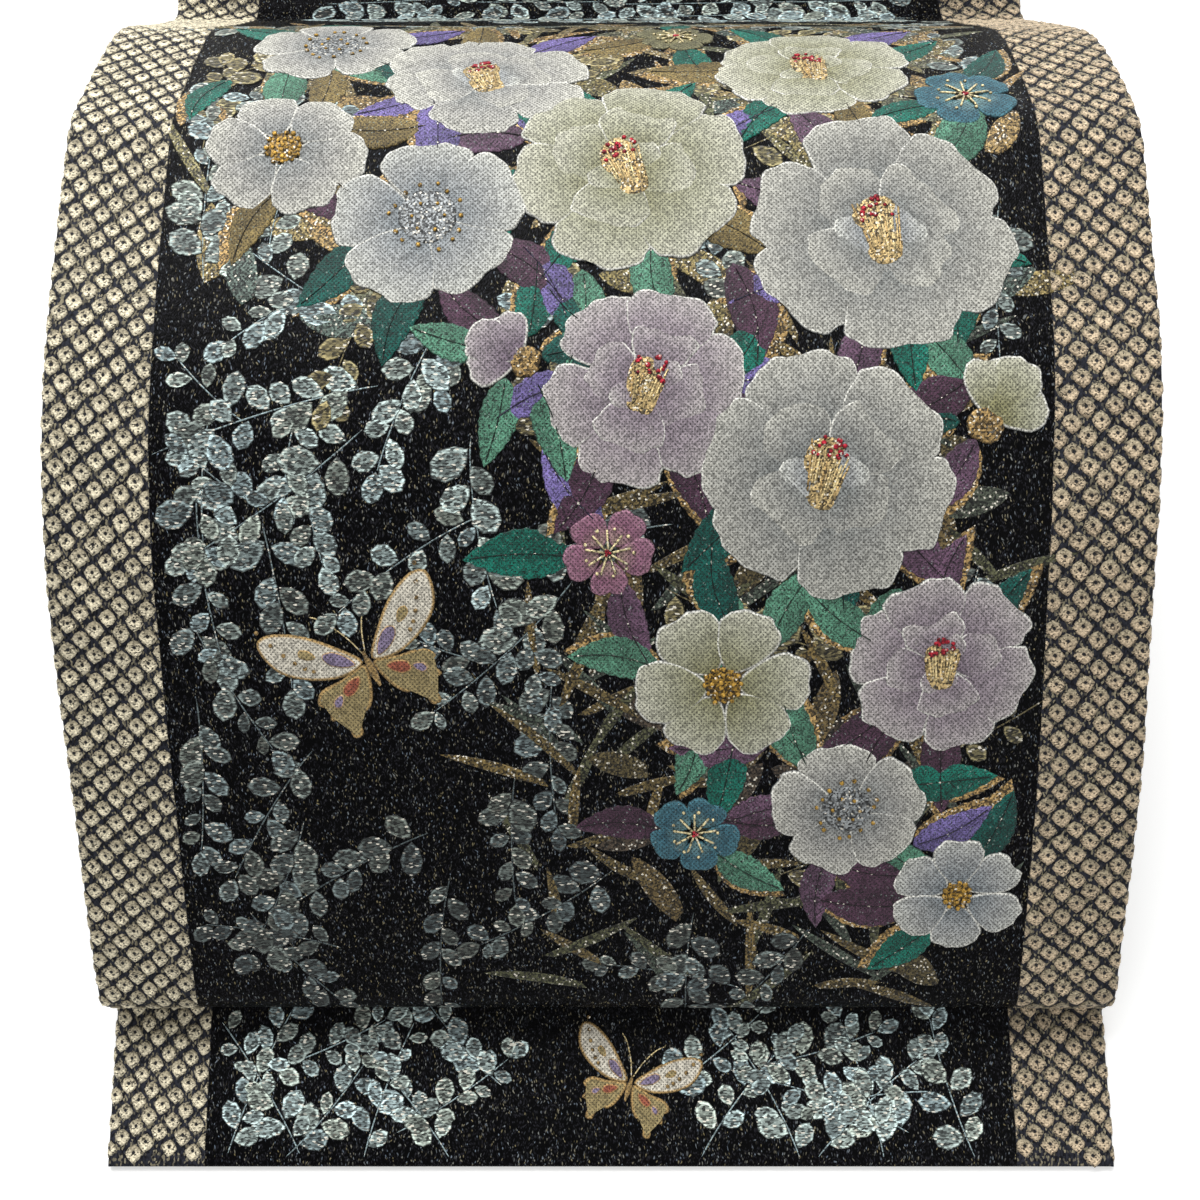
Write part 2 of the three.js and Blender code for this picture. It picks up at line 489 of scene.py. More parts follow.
@dataclass(frozen=True)
class TwillLining(Finish):
    """Plain black silk twill lining: soft, with a fine diagonal rib."""

    base: str = "#121216"
    rib: str = "#24242b"
    pitch: float = 1.1  # mm; the real twill line is 0.5 mm, drawn coarser so that it shows

    def weave(self, tree: bpy.types.NodeTree, shader: Any, cloth: Any) -> None:
        """Diagonal ribs with a little unevenness."""
        ribs = node(
            tree,
            "ShaderNodeTexWave",
            {
                "Vector": cloth,
                "Scale": 2 * math.pi / self.pitch / 20 * math.sqrt(0.5),
                "Distortion": 0.6,
                "Detail": 1.0,
            },
            bands_direction="DIAGONAL",
        )
        ribbed = mixed(tree, ribs.outputs["Fac"], linear(self.base), linear(self.rib))
        constants = {"Roughness": 0.62, "Specular IOR Level": 0.2, "Sheen Weight": 0.1}
        self.settle(tree, shader, ribbed, ribs.outputs["Fac"], (0.0001, 0.6), constants)


@dataclass(frozen=True)
class DyedWeft(Finish):
    """Dyed supplementary weft that takes its colour from the piece's own dye attribute.

    speckle is how strongly single yarns differ, gap the share of grains where the dark ground
    shows through, glints the share that catches the light, mesh how dark the pits of the binding
    lattice are, metal how much of the yarn is gilt lamella.
    """

    speckle: float = 0.2
    gap: float = 0.0
    glints: float = 0.0
    mesh: float = 0.3
    pitch: float = 0.95  # mm; the real binding lattice is 0.55 mm, drawn coarser so that it shows
    grain: tuple[float, float] = (0.5, 0.5)
    metal: float = 0.0
    rough: float = 0.6
    sheen: float = 0.1
    glint: str = "#f2ecdc"
    ground: str = "#0a0a0c"

    def weave(self, tree: bpy.types.NodeTree, shader: Any, cloth: Any) -> None:
        """Dye, yarn to yarn differences, gaps, glints and binding pits."""
        dye = node(tree, "ShaderNodeAttribute", attribute_name="dye").outputs["Color"]
        colour, distance = self.grains(tree, cloth, *self.grain)
        parts = node(tree, "ShaderNodeSeparateColor", {0: colour})
        yarn = ranged(tree, parts.outputs[0], low=1 - self.speckle, high=1 + self.speckle)
        floats = self.lattice(tree, cloth, self.pitch)
        pits = ranged(tree, floats, low=1 - self.mesh)
        shade = maths(tree, "MULTIPLY", yarn, pits)
        shown = node(tree, "ShaderNodeVectorMath", {0: dye, 3: shade}, operation="SCALE").outputs[0]
        layers = (
            (self.glints, parts.outputs[2], 1.0 - self.glints, 1.06 - self.glints, self.glint),
            (self.gap, parts.outputs[1], self.gap + 0.04, self.gap - 0.04, self.ground),
        )
        for share, chance, start, end, code in layers:
            if share > 0:
                amount = ranged(tree, chance, start, end, high=0.85)
                shown = mixed(tree, amount, shown, linear(code))
        height = maths(tree, "ADD", floats, parts.outputs[1])
        constants = {
            "Metallic": self.metal,
            "Roughness": self.rough,
            "Specular IOR Level": 0.25,
            "Sheen Weight": self.sheen,
        }
        self.settle(tree, shader, shown, height, (0.00012, 0.7), constants)


GROUND = SatinGround("silk satin with lamella flecks")
BAND_GROUND = BandGround("navy warp-faced silk")
LINING = TwillLining("black silk twill")
# Spun silk weft: matt, slightly raised, its fine binding mesh shows as dark dots.
SILK = DyedWeft("spun silk weft", speckle=0.5, glints=0.012, mesh=0.7, grain=(0.42, 0.5), rough=0.65)
# Cell weft: heavier cream silk in small pillows, broken by dark warp threads.
CELL_SILK = DyedWeft("cream cell weft", speckle=0.42, gap=0.17, mesh=0.3, grain=(0.5, 0.38), rough=0.7)
# Leaf weft: close dyed silk, an even colour with a fine lighter grain.
LEAF_SILK = DyedWeft(
    "dyed leaf weft",
    speckle=0.6,
    gap=0.1,
    glints=0.035,
    mesh=0.5,
    pitch=0.9,
    grain=(0.38, 0.42),
    rough=0.55,
    glint="#9fb3aa",
)
# Gilt lamella: broken gold glints with the black ground between them.
GILT = DyedWeft("gilt lamella weft", speckle=0.65, gap=0.38, glints=0.1, mesh=0.2, metal=0.2, rough=0.42)
# Pewter lamella: short level dashes of silver and blue over the black ground.
PEWTER_WEFT = DyedWeft(
    "pewter lamella weft", speckle=0.6, gap=0.34, glints=0.1, mesh=0.1, grain=(0.95, 0.42), rough=0.5
)
# Twisted gold and dyed threads of the stamens and outlines.
THREAD = DyedWeft(
    "twisted metal thread", speckle=0.5, gap=0.15, glints=0.08, mesh=0.1, metal=0.25, rough=0.42
)


# ------------------------------------------------------------------ flat cloth shapes

Colour = tuple[float, float, float]
Point = tuple[float, float]
Dye = Callable[[np.ndarray], np.ndarray]  # gives a linear colour for each row of flat points


def plain(colour: Sequence[float]) -> Dye:
    """A dye that is the same everywhere."""
    return lambda at: np.tile(colour, (len(at), 1))


def lighter_outwards(colour: np.ndarray, outline: np.ndarray) -> Dye:
    """A dye that grows lighter from the middle of an outline to its furthest point."""
    middle = outline.mean(0)
    reach = np.linalg.norm(outline - middle, axis=1).max()
    return lambda at: colour * (0.8 + 0.25 * np.linalg.norm(at - middle, axis=1)[:, None] / reach)


def blend(a: Sequence[float], b: Sequence[float], share: float) -> Colour:
    """Mixes two linear colours; share 0 gives a and 1 gives b."""
    return tuple(p + (q - p) * share for p, q in zip(a[:3], b[:3]))


def dimmed(colour: Sequence[float], factor: float) -> Colour:
    """A linear colour made darker or lighter."""
    return tuple(c * factor for c in colour[:3])


def linked(name: str, data: Any) -> bpy.types.Object:
    """Makes an object of its data and puts it in the scene."""
    made = bpy.data.objects.new(name, data)
    bpy.context.scene.collection.objects.link(made)
    return made


@dataclass
class FlatMesh:
    """Points of flat cloth with a dye for each, and faces over them."""

    points: list[tuple[float, float, float]] = field(default_factory=list)
    dyes: list[Colour] = field(default_factory=list)
    faces: list[tuple[int, ...]] = field(default_factory=list)

    def add(self, points: Iterable[tuple[float, float, float]], dyes: Iterable[Colour]) -> range:
        """Adds points and their dyes, and returns their numbers."""
        start = len(self.points)
        self.points.extend(points)
        self.dyes.extend(dyes)
        return range(start, len(self.points))

    def join(self, outer: Sequence[int], inner: Sequence[int]) -> None:
        """Joins two rings of equally many points by a band of faces."""
        count = len(outer)
        for i in range(count):
            j = (i + 1) % count
            self.faces.append((outer[i], outer[j], inner[j], inner[i]))

    def lay(self, walk: ClothWalk, name: str, finish: Finish) -> bpy.types.Object:
        """Lays the shapes on the cloth as one object.

        Args:
            walk: the cloth's path.
            name: the piece's name.
            finish: its material.

        Returns:
            The object, riding on the body.
        """
        flat = np.array(self.points)
        return mesh_object(name, walk, flat, self.faces, [finish], dyes=np.array(self.dyes))


def mesh_object(
    name: str,
    walk: ClothWalk,
    flat: np.ndarray,
    faces: Sequence[Sequence[int]],
    finishes: Sequence[Finish],
    dyes: np.ndarray | None = None,
    material_index: Sequence[int] | None = None,
) -> bpy.types.Object:
    """Makes an object from flat cloth points laid on the walk.

    Args:
        name: the piece's name.
        walk: the cloth's path.
        flat: rows of across, along and lift above the middle of the cloth, mm.
        faces: point numbers of each face.
        finishes: the materials, in slot order.
        dyes: a linear colour for each point.
        material_index: the slot of each face.

    Returns:
        The object.
    """
    mesh = bpy.data.meshes.new(name)
    mesh.from_pydata(walk.place(*flat.T).tolist(), [], [tuple(f) for f in faces])
    cloth = mesh.attributes.new("cloth", "FLOAT_VECTOR", "POINT")
    cloth.data.foreach_set("vector", flat.astype(np.float32).ravel())
    if dyes is not None:
        dye = mesh.attributes.new("dye", "FLOAT_COLOR", "POINT")
        full = np.ones((len(dyes), 4), np.float32)
        full[:, :3] = dyes
        dye.data.foreach_set("color", full.ravel())
    for finish in finishes:
        mesh.materials.append(finish.build())
    if material_index is not None:
        mesh.polygons.foreach_set("material_index", list(material_index))
    mesh.shade_smooth()
    mesh.update()
    made = linked(name, mesh)
    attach(made, BODY)
    return made


def turned(points: np.ndarray, degrees: float, centre: Point = (0.0, 0.0)) -> np.ndarray:
    """Turns flat points anticlockwise and moves them to a centre."""
    angle = math.radians(degrees)
    spin = np.array([[math.cos(angle), -math.sin(angle)], [math.sin(angle), math.cos(angle)]])
    return points @ spin.T + np.array(centre)


def turned_point(across: float, along: float, degrees: float, centre: Point = (0.0, 0.0)) -> np.ndarray:
    """Turns one flat point anticlockwise and moves it to a centre."""
    return turned(np.array([[across, along]]), degrees, centre)[0]


def inset(outline: np.ndarray, depth: float) -> np.ndarray:
    """Moves each point of an anticlockwise outline inwards."""
    along = np.roll(outline, -1, 0) - np.roll(outline, 1, 0)
    along /= np.maximum(np.linalg.norm(along, axis=1, keepdims=True), 1e-6)
    return outline + depth * np.stack([-along[:, 1], along[:, 0]], 1)


def signed_area(outline: np.ndarray) -> float:
    """Area of an outline, positive when it is anticlockwise."""
    after = np.roll(outline, -1, 0)
    return float(0.5 * np.sum(outline[:, 0] * after[:, 1] - after[:, 0] * outline[:, 1]))


@dataclass(frozen=True)
class Relief:
    """How a woven patch stands on the cloth, mm: its height, its rim and how fine its mesh is."""

    height: float = 0.4
    rim: float = 0.45
    shoulder: float = 0.9
    crown: float = 0.15
    step: float = 2.6


SUNK = -0.35  # lift of a patch's hidden underside, inside the cloth, mm
THREAD_SUNK = -0.2  # the same for a line of thread
CROWN_REACH = 6.0  # how far in from its edge a patch reaches its full crown, mm


def add_patch(
    flat: FlatMesh,
    outline: np.ndarray,
    relief: Relief,
    dye: Dye,
    rim_dye: Sequence[float] | None = None,
    edge_dye: Sequence[float] | None = None,
) -> None:
    """Adds a closed raised patch with a rounded rim.

    Args:
        flat: the mesh that gets the patch.
        outline: anticlockwise or clockwise points of flat cloth, mm.
        relief: its heights.
        dye: gives a linear colour for each row of points.
        rim_dye: the colour of the bright thread just inside the edge.
        edge_dye: the colour at the very edge.
    """
    if signed_area(outline) < 0:
        outline = outline[::-1]
    count = len(outline)
    rings = [outline, outline, inset(outline, relief.rim), inset(outline, relief.rim + relief.shoulder)]
    lifts = [SUNK, relief.height * 0.35, relief.height * 0.9, relief.height]
    dyes = [dye(ring) for ring in rings]
    if edge_dye is not None:
        dyes[0] = dyes[1] = np.tile(edge_dye[:3], (count, 1))
    if rim_dye is not None:
        dyes[2] = np.tile(rim_dye[:3], (count, 1))
    numbers = [
        flat.add(((x, y, FACE + lift) for x, y in ring), map(tuple, colours))
        for ring, lift, colours in zip(rings, lifts, dyes)
    ]
    for outer, inner in zip(numbers, numbers[1:]):
        flat.join(outer, inner)
    flat.faces.append(tuple(reversed(numbers[0])))
    fill_top(flat, rings[-1], numbers[-1], relief, dye)


def fill_top(
    flat: FlatMesh,
    outline: np.ndarray,
    numbers: Sequence[int],
    relief: Relief,
    dye: Dye,
) -> None:
    """Fills the inside of a patch with a slightly crowned net of triangles.

    Args:
        flat: the mesh that gets the faces.
        outline: the innermost ring of the patch.
        numbers: that ring's point numbers.
        relief: the patch's heights.
        dye: gives a linear colour for each row of points.
    """
    low, high = outline.min(0), outline.max(0)
    step = relief.step
    grid = [
        (x + (step / 2 if row % 2 else 0.0), y)
        for row, y in enumerate(np.arange(low[1] + step / 2, high[1], step * 0.87))
        for x in np.arange(low[0] + step / 2, high[0], step)
    ]
    kept = [p for p in grid if clearance(outline, p) > step * 0.45]
    vertices = [Vector(p) for p in outline] + [Vector(p) for p in kept]
    result = delaunay_2d_cdt(vertices, [], [list(range(len(outline)))], 1, 1e-5, True)
    points, _, faces, origins = result[:4]
    lookup: list[int] = []
    for point, source in zip(points, origins):
        first = source[0] if source else -1
        if 0 <= first < len(outline):
            lookup.append(numbers[first])
            continue
        at = np.array([[point.x, point.y]])
        rise = min(clearance(outline, (point.x, point.y)) / CROWN_REACH, 1.0)
        lift = FACE + relief.height + relief.crown * rise
        lookup.append(flat.add([(point.x, point.y, lift)], [tuple(dye(at)[0])])[0])
    for face in faces:
        corners = [lookup[i] for i in face]
        if len(set(corners)) == len(corners):
            flat.faces.append(tuple(corners))


def clearance(outline: np.ndarray, point: Point) -> float:
    """Distance of a point inside an outline from its edge, below 0 outside it."""
    after = np.roll(outline, -1, 0)
    edge = after - outline
    to_point = np.array(point) - outline
    share = np.clip((to_point * edge).sum(1) / np.maximum((edge**2).sum(1), 1e-9), 0, 1)
    distance = np.linalg.norm(to_point - edge * share[:, None], axis=1).min()
    above = (outline[:, 1] > point[1]) != (after[:, 1] > point[1])
    rise = np.where(above, after[:, 1] - outline[:, 1], 1.0)
    crossing = outline[:, 0] + (point[1] - outline[:, 1]) / rise * edge[:, 0]
    inside = np.count_nonzero(above & (point[0] < crossing)) % 2 == 1
    return float(distance if inside else -distance)


def add_strip(
    flat: FlatMesh, path: np.ndarray, width: float, height: float, dye: Sequence[float], base: float = 0.0
) -> None:
    """Adds a raised line of thread along a path, closed all round and tapered at its ends.

    Args:
        flat: the mesh that gets it.
        path: points of flat cloth, mm.
        width: its width, mm.
        height: how far it stands above base.
        dye: its linear colour.
        base: lift of what it lies on, above the face.
    """
    along = np.gradient(path, axis=0)
    along /= np.maximum(np.linalg.norm(along, axis=1, keepdims=True), 1e-6)
    side = np.stack([-along[:, 1], along[:, 0]], 1)
    taper = np.ones(len(path))
    taper[0] = taper[-1] = 0.35
    half = (width / 2 * taper)[:, None]
    rows = [
        (side * half, THREAD_SUNK),
        (side * half * 0.6, height),
        (side * half * -0.6, height),
        (side * -half, THREAD_SUNK),
    ]
    numbers = [
        flat.add(((x, y, FACE + base + lift) for x, y in path + shift), [tuple(dye[:3])] * len(path))
        for shift, lift in rows
    ]
    for a, b in zip(numbers, numbers[1:] + numbers[:1]):
        for i in range(len(path) - 1):
            flat.faces.append((a[i + 1], a[i], b[i], b[i + 1]))
    flat.faces.append(tuple(ring[0] for ring in numbers))
    flat.faces.append(tuple(ring[-1] for ring in reversed(numbers)))


# ------------------------------------------------------------------ repeats by Geometry Nodes


def random_between(tree: bpy.types.NodeTree, low: Any, high: Any, seed: Any) -> Any:
    """Adds a random number between two sockets' values and returns its socket."""
    limits = {2: low, 3: high, "Seed": seed}
    return node(tree, "FunctionNodeRandomValue", limits, data_type="FLOAT").outputs[1]


def scatter_tree() -> bpy.types.NodeTree:
    """Geometry Nodes that set one small shape on every point, each point with its turn and size.

    Returns:
        The node group, with inputs for the shape, how much sizes differ, the seed and the finish.
    """
    known = bpy.data.node_groups.get("Woven repeat")
    if known:
        return known
    tree = bpy.data.node_groups.new("Woven repeat", "GeometryNodeTree")
    sockets = (
        ("Points", "NodeSocketGeometry"),
        ("Shape", "NodeSocketObject"),
        ("Size spread", "NodeSocketFloat"),
        ("Turn spread", "NodeSocketFloat"),
        ("Seed", "NodeSocketInt"),
        ("Finish", "NodeSocketMaterial"),
    )
    for name, kind in sockets:
        tree.interface.new_socket(name, in_out="INPUT", socket_type=kind)
    tree.interface.new_socket("Woven", in_out="OUTPUT", socket_type="NodeSocketGeometry")
    source = node(tree, "NodeGroupInput").outputs
    turn = node(tree, "GeometryNodeInputNamedAttribute", {"Name": "turn"}, data_type="FLOAT")
    size = node(tree, "GeometryNodeInputNamedAttribute", {"Name": "size"}, data_type="FLOAT_VECTOR")
    low = maths(tree, "SUBTRACT", 1.0, source["Size spread"])
    high = maths(tree, "ADD", 1.0, source["Size spread"])
    scale = random_between(tree, low, high, source["Seed"])
    sized = node(tree, "ShaderNodeVectorMath", {0: size.outputs[0], 3: scale}, operation="SCALE")
    less = maths(tree, "MULTIPLY", source["Turn spread"], -1.0)
    sway = random_between(tree, less, source["Turn spread"], source["Seed"])
    spun = maths(tree, "ADD", turn.outputs[0], sway)
    euler = node(tree, "ShaderNodeCombineXYZ", {2: spun})
    shape = node(tree, "GeometryNodeObjectInfo", {"Object": source["Shape"]})
    placed = node(
        tree,
        "GeometryNodeInstanceOnPoints",
        {
            "Points": source["Points"],
            "Instance": shape.outputs["Geometry"],
            "Rotation": euler.outputs[0],
            "Scale": sized.outputs[0],
        },
    )
    real = node(tree, "GeometryNodeRealizeInstances", {"Geometry": placed.outputs[0]})
    finished = node(
        tree, "GeometryNodeSetMaterial", {"Geometry": real.outputs[0], "Material": source["Finish"]}
    )
    node(tree, "NodeGroupOutput", {0: finished.outputs[0]})
    return tree


@dataclass(frozen=True)
class Spot:
    """Where one repeat goes in flat cloth, mm, its turn in radians, its size and its dye."""

    across: float
    along: float
    turn: float = 0.0
    size: tuple[float, float, float] = (1.0, 1.0, 1.0)
    dye: Colour = (1.0, 1.0, 1.0)
    lift: float = 0.0


@dataclass(frozen=True)
class Repeat:
    """A small shape woven many times: its own flat mesh, and how much its copies differ."""

    name: str
    shape: FlatMesh
    finish: Finish
    size_spread: float = 0.06
    turn_spread: float = 0.05
    seed: int = SEED

    def weave(
        self, walk: ClothWalk, spots: Sequence[Spot], limits: Sequence[float] = ()
    ) -> bpy.types.Object:
        """Sets the shape on every spot by Geometry Nodes, then lays the result on the cloth.

        Args:
            walk: the cloth's path.
            spots: where the copies go.
            limits: the least and greatest across, mm, where copies are cut off; empty for no cut.

        Returns:
            The finished object.
        """
        pattern = self._shape_object()
        points = bpy.data.meshes.new(self.name + " spots")
        points.from_pydata([(s.across, s.along, FACE + s.lift) for s in spots], [], [])
        for name, kind, key, values in (
            ("turn", "FLOAT", "value", [s.turn for s in spots]),
            ("size", "FLOAT_VECTOR", "vector", [c for s in spots for c in s.size]),
            ("tint", "FLOAT_VECTOR", "vector", [c for s in spots for c in s.dye]),
        ):
            points.attributes.new(name, kind, "POINT").data.foreach_set(key, values)
        carrier = linked(self.name + " spots", points)
        modifier = carrier.modifiers.new("weave", "NODES")
        tree = scatter_tree()
        modifier.node_group = tree
        values = {
            "Shape": pattern,
            "Size spread": self.size_spread,
            "Turn spread": self.turn_spread,
            "Seed": self.seed,
            "Finish": self.finish.build(),
        }
        for item in tree.interface.items_tree:
            if item.in_out == "INPUT" and item.name in values:
                modifier[item.identifier] = values[item.name]
        carrier.update_tag()
        graph = bpy.context.evaluated_depsgraph_get()
        flat_mesh = bpy.data.meshes.new_from_object(carrier.evaluated_get(graph), depsgraph=graph)
        for limit, outwards in zip(limits, (-1.0, 1.0)):
            cut_across(flat_mesh, limit, outwards)
        made = self._lay(walk, flat_mesh)
        for spent in (carrier, pattern):
            bpy.data.objects.remove(spent)
        bpy.data.meshes.remove(flat_mesh)
        return made

    def _shape_object(self) -> bpy.types.Object:
        """The shape as an object, with its dye kept as an attribute."""
        mesh = bpy.data.meshes.new(self.name + " shape")
        mesh.from_pydata(self.shape.points, [], self.shape.faces)
        dye = mesh.attributes.new("dye", "FLOAT_VECTOR", "POINT")
        dye.data.foreach_set("vector", [c for d in self.shape.dyes for c in d])
        return linked(self.name + " shape", mesh)

    def _lay(self, walk: ClothWalk, flat_mesh: bpy.types.Mesh) -> bpy.types.Object:
        """Moves the woven repeats from flat cloth onto the walk."""
        count = len(flat_mesh.vertices)
        flat = read_vectors(flat_mesh.vertices, "co", count)
        dyes = read_vectors(flat_mesh.attributes["dye"].data, "vector", count)
        tint = read_vectors(flat_mesh.attributes["tint"].data, "vector", count)
        faces = [tuple(p.vertices) for p in flat_mesh.polygons]
        # Each copy's dye is its shape's greys times its tint; for knots and threads those greys are painted
        # highlight and shade.
        return mesh_object(self.name, walk, flat, faces, [self.finish], dyes=dyes * tint)


def cut_across(mesh: bpy.types.Mesh, limit: float, outwards: float) -> None:
    """Cuts a flat mesh off at an across value and closes it there.

    Args:
        mesh: the mesh, changed in place.
        limit: where it is cut, mm.
        outwards: 1 to take away what lies to the right, -1 what lies to the left.
    """
    work = bmesh.new()
    work.from_mesh(mesh)
    everything = work.verts[:] + work.edges[:] + work.faces[:]
    bmesh.ops.bisect_plane(
        work, geom=everything, plane_co=(limit, 0, 0), plane_no=(outwards, 0, 0), clear_outer=True
    )
    open_edges = [e for e in work.edges if e.is_boundary]
    bmesh.ops.holes_fill(work, edges=open_edges, sides=0)
    work.to_mesh(mesh)
    work.free()


def read_vectors(data: Any, key: str, count: int) -> np.ndarray:
    """Reads count rows of three numbers from mesh data."""
    values = np.empty(count * 3, np.float32)
    data.foreach_get(key, values)
    return values.reshape(-1, 3).astype(float)


# ------------------------------------------------------------------ the cloth


# How the shell thins out at both ends of the cloth: mm from the end, and share of the thickness.
END_TAPER = ((0.0, 0.5), (0.5, 0.85), (1.3, 1.0))
FACE_SLOT, BAND_SLOT, LINING_SLOT = range(3)


@dataclass(frozen=True)
class ClothShell:
    """The cloth itself as one closed shell: patterned face, bands, lining and woven edges."""

    panel_columns: int = 34
    band_columns: int = 5
    lining_columns: int = 31
    edge_steps: int = 6
    hump_step: float = 4.0
    flat_step: float = 24.0
    fold_turn: float = 15.0

    def section(self) -> tuple[np.ndarray, list[int]]:
        """The cloth's section: rows of across and lift, and the material of each side after a row.

        Returns:
            The rows, anticlockwise seen from behind the walk's start, and one slot for each.
        """
        inner = HALF_WIDTH - EDGE
        left = np.linspace(-inner, -PANEL, self.band_columns + 1)
        panel = np.linspace(-PANEL, PANEL, self.panel_columns + 1)[1:]
        face = np.concatenate([left, panel, -left[::-1][1:]])
        wrap = np.linspace(0, math.pi * EDGE, self.edge_steps + 1)[1:-1]
        lining = np.linspace(inner, -inner, self.lining_columns + 1)
        across = np.concatenate([face, inner + wrap, lining, -inner - wrap[::-1]])
        lift = np.concatenate(
            [
                np.full(len(face) + len(wrap), FACE),
                np.full(len(lining), -FACE),
                np.full(len(wrap), FACE),
            ]
        )
        slots = []
        for a, b, low in zip(across, np.roll(across, -1), lift):
            middle = abs(a + b) / 2
            past = middle - inner
            if low < 0 or past > math.pi * EDGE / 2:
                slots.append(LINING_SLOT)
            else:
                slots.append(BAND_SLOT if middle > PANEL else FACE_SLOT)
        return np.stack([across, lift], 1), slots

    def stations(self, walk: ClothWalk) -> list[tuple[float, float]]:
        """Places along the cloth that get a ring, and each ring's share of the thickness."""
        marks = list(END_TAPER)
        for name, row in zip(walk.names, walk.rows):
            hump = row[0] + row[1] > walk.span("lower fold")[0] and row[0] < walk.span("run")[1]
            step = self.hump_step if hump else self.flat_step
            turn = abs(math.degrees(row[2] * row[1]))
            count = max(1, math.ceil(row[1] / step), math.ceil(turn / self.fold_turn))
            marks.extend((row[0] + row[1] * i / count, 1.0) for i in range(1, count + 1))
        marks.pop()
        return marks + [(walk.end - away, share) for away, share in reversed(END_TAPER)]

    def build(self, walk: ClothWalk) -> bpy.types.Object:
        """Makes the cloth in place of the plain nodes.

        Args:
            walk: the cloth's path.

        Returns:
            The cloth.
        """
        section, slots = self.section()
        marks = self.stations(walk)
        per_ring = len(section)
        flat = np.array([(x, along, lift * share) for along, share in marks for x, lift in section])
        thin = np.repeat([share for _, share in marks], per_ring)
        past = np.abs(flat[:, 0]) > HALF_WIDTH - EDGE
        flat[past & (thin < 1), 2] = FACE
        faces: list[tuple[int, ...]] = []
        material_index: list[int] = []
        for ring in range(len(marks) - 1):
            for i in range(per_ring):
                a, b = ring * per_ring + i, ring * per_ring + (i + 1) % per_ring
                faces.append((a, b, b + per_ring, a + per_ring))
                material_index.append(slots[i])
        last = (len(marks) - 1) * per_ring
        faces.append(tuple(reversed(range(per_ring))))
        faces.append(tuple(range(last, last + per_ring)))
        material_index += [LINING_SLOT, LINING_SLOT]
        made = mesh_object(
            "obi_cloth", walk, flat, faces, [GROUND, BAND_GROUND, LINING], material_index=material_index
        )
        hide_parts("tare", "under_layer", "drum", "run_behind", "folded_rest")
        return made


# ------------------------------------------------------------------ the cell bands


class Side(Enum):
    """The two woven edges of the cloth."""

    LEFT = -1
    RIGHT = 1


END_MARGIN = 2.4  # plain cloth before the first cells and after the last, mm
CELL_SPILL = (2.4, 2.2)  # how far cells start inside the panel and past the edge, before the cut, mm
LATTICE_REACH = 60  # cells tried past the band's ends, so that the slanted lattice fills it
CORNER = 3.2  # how square a cell's corners are: 2 is an ellipse


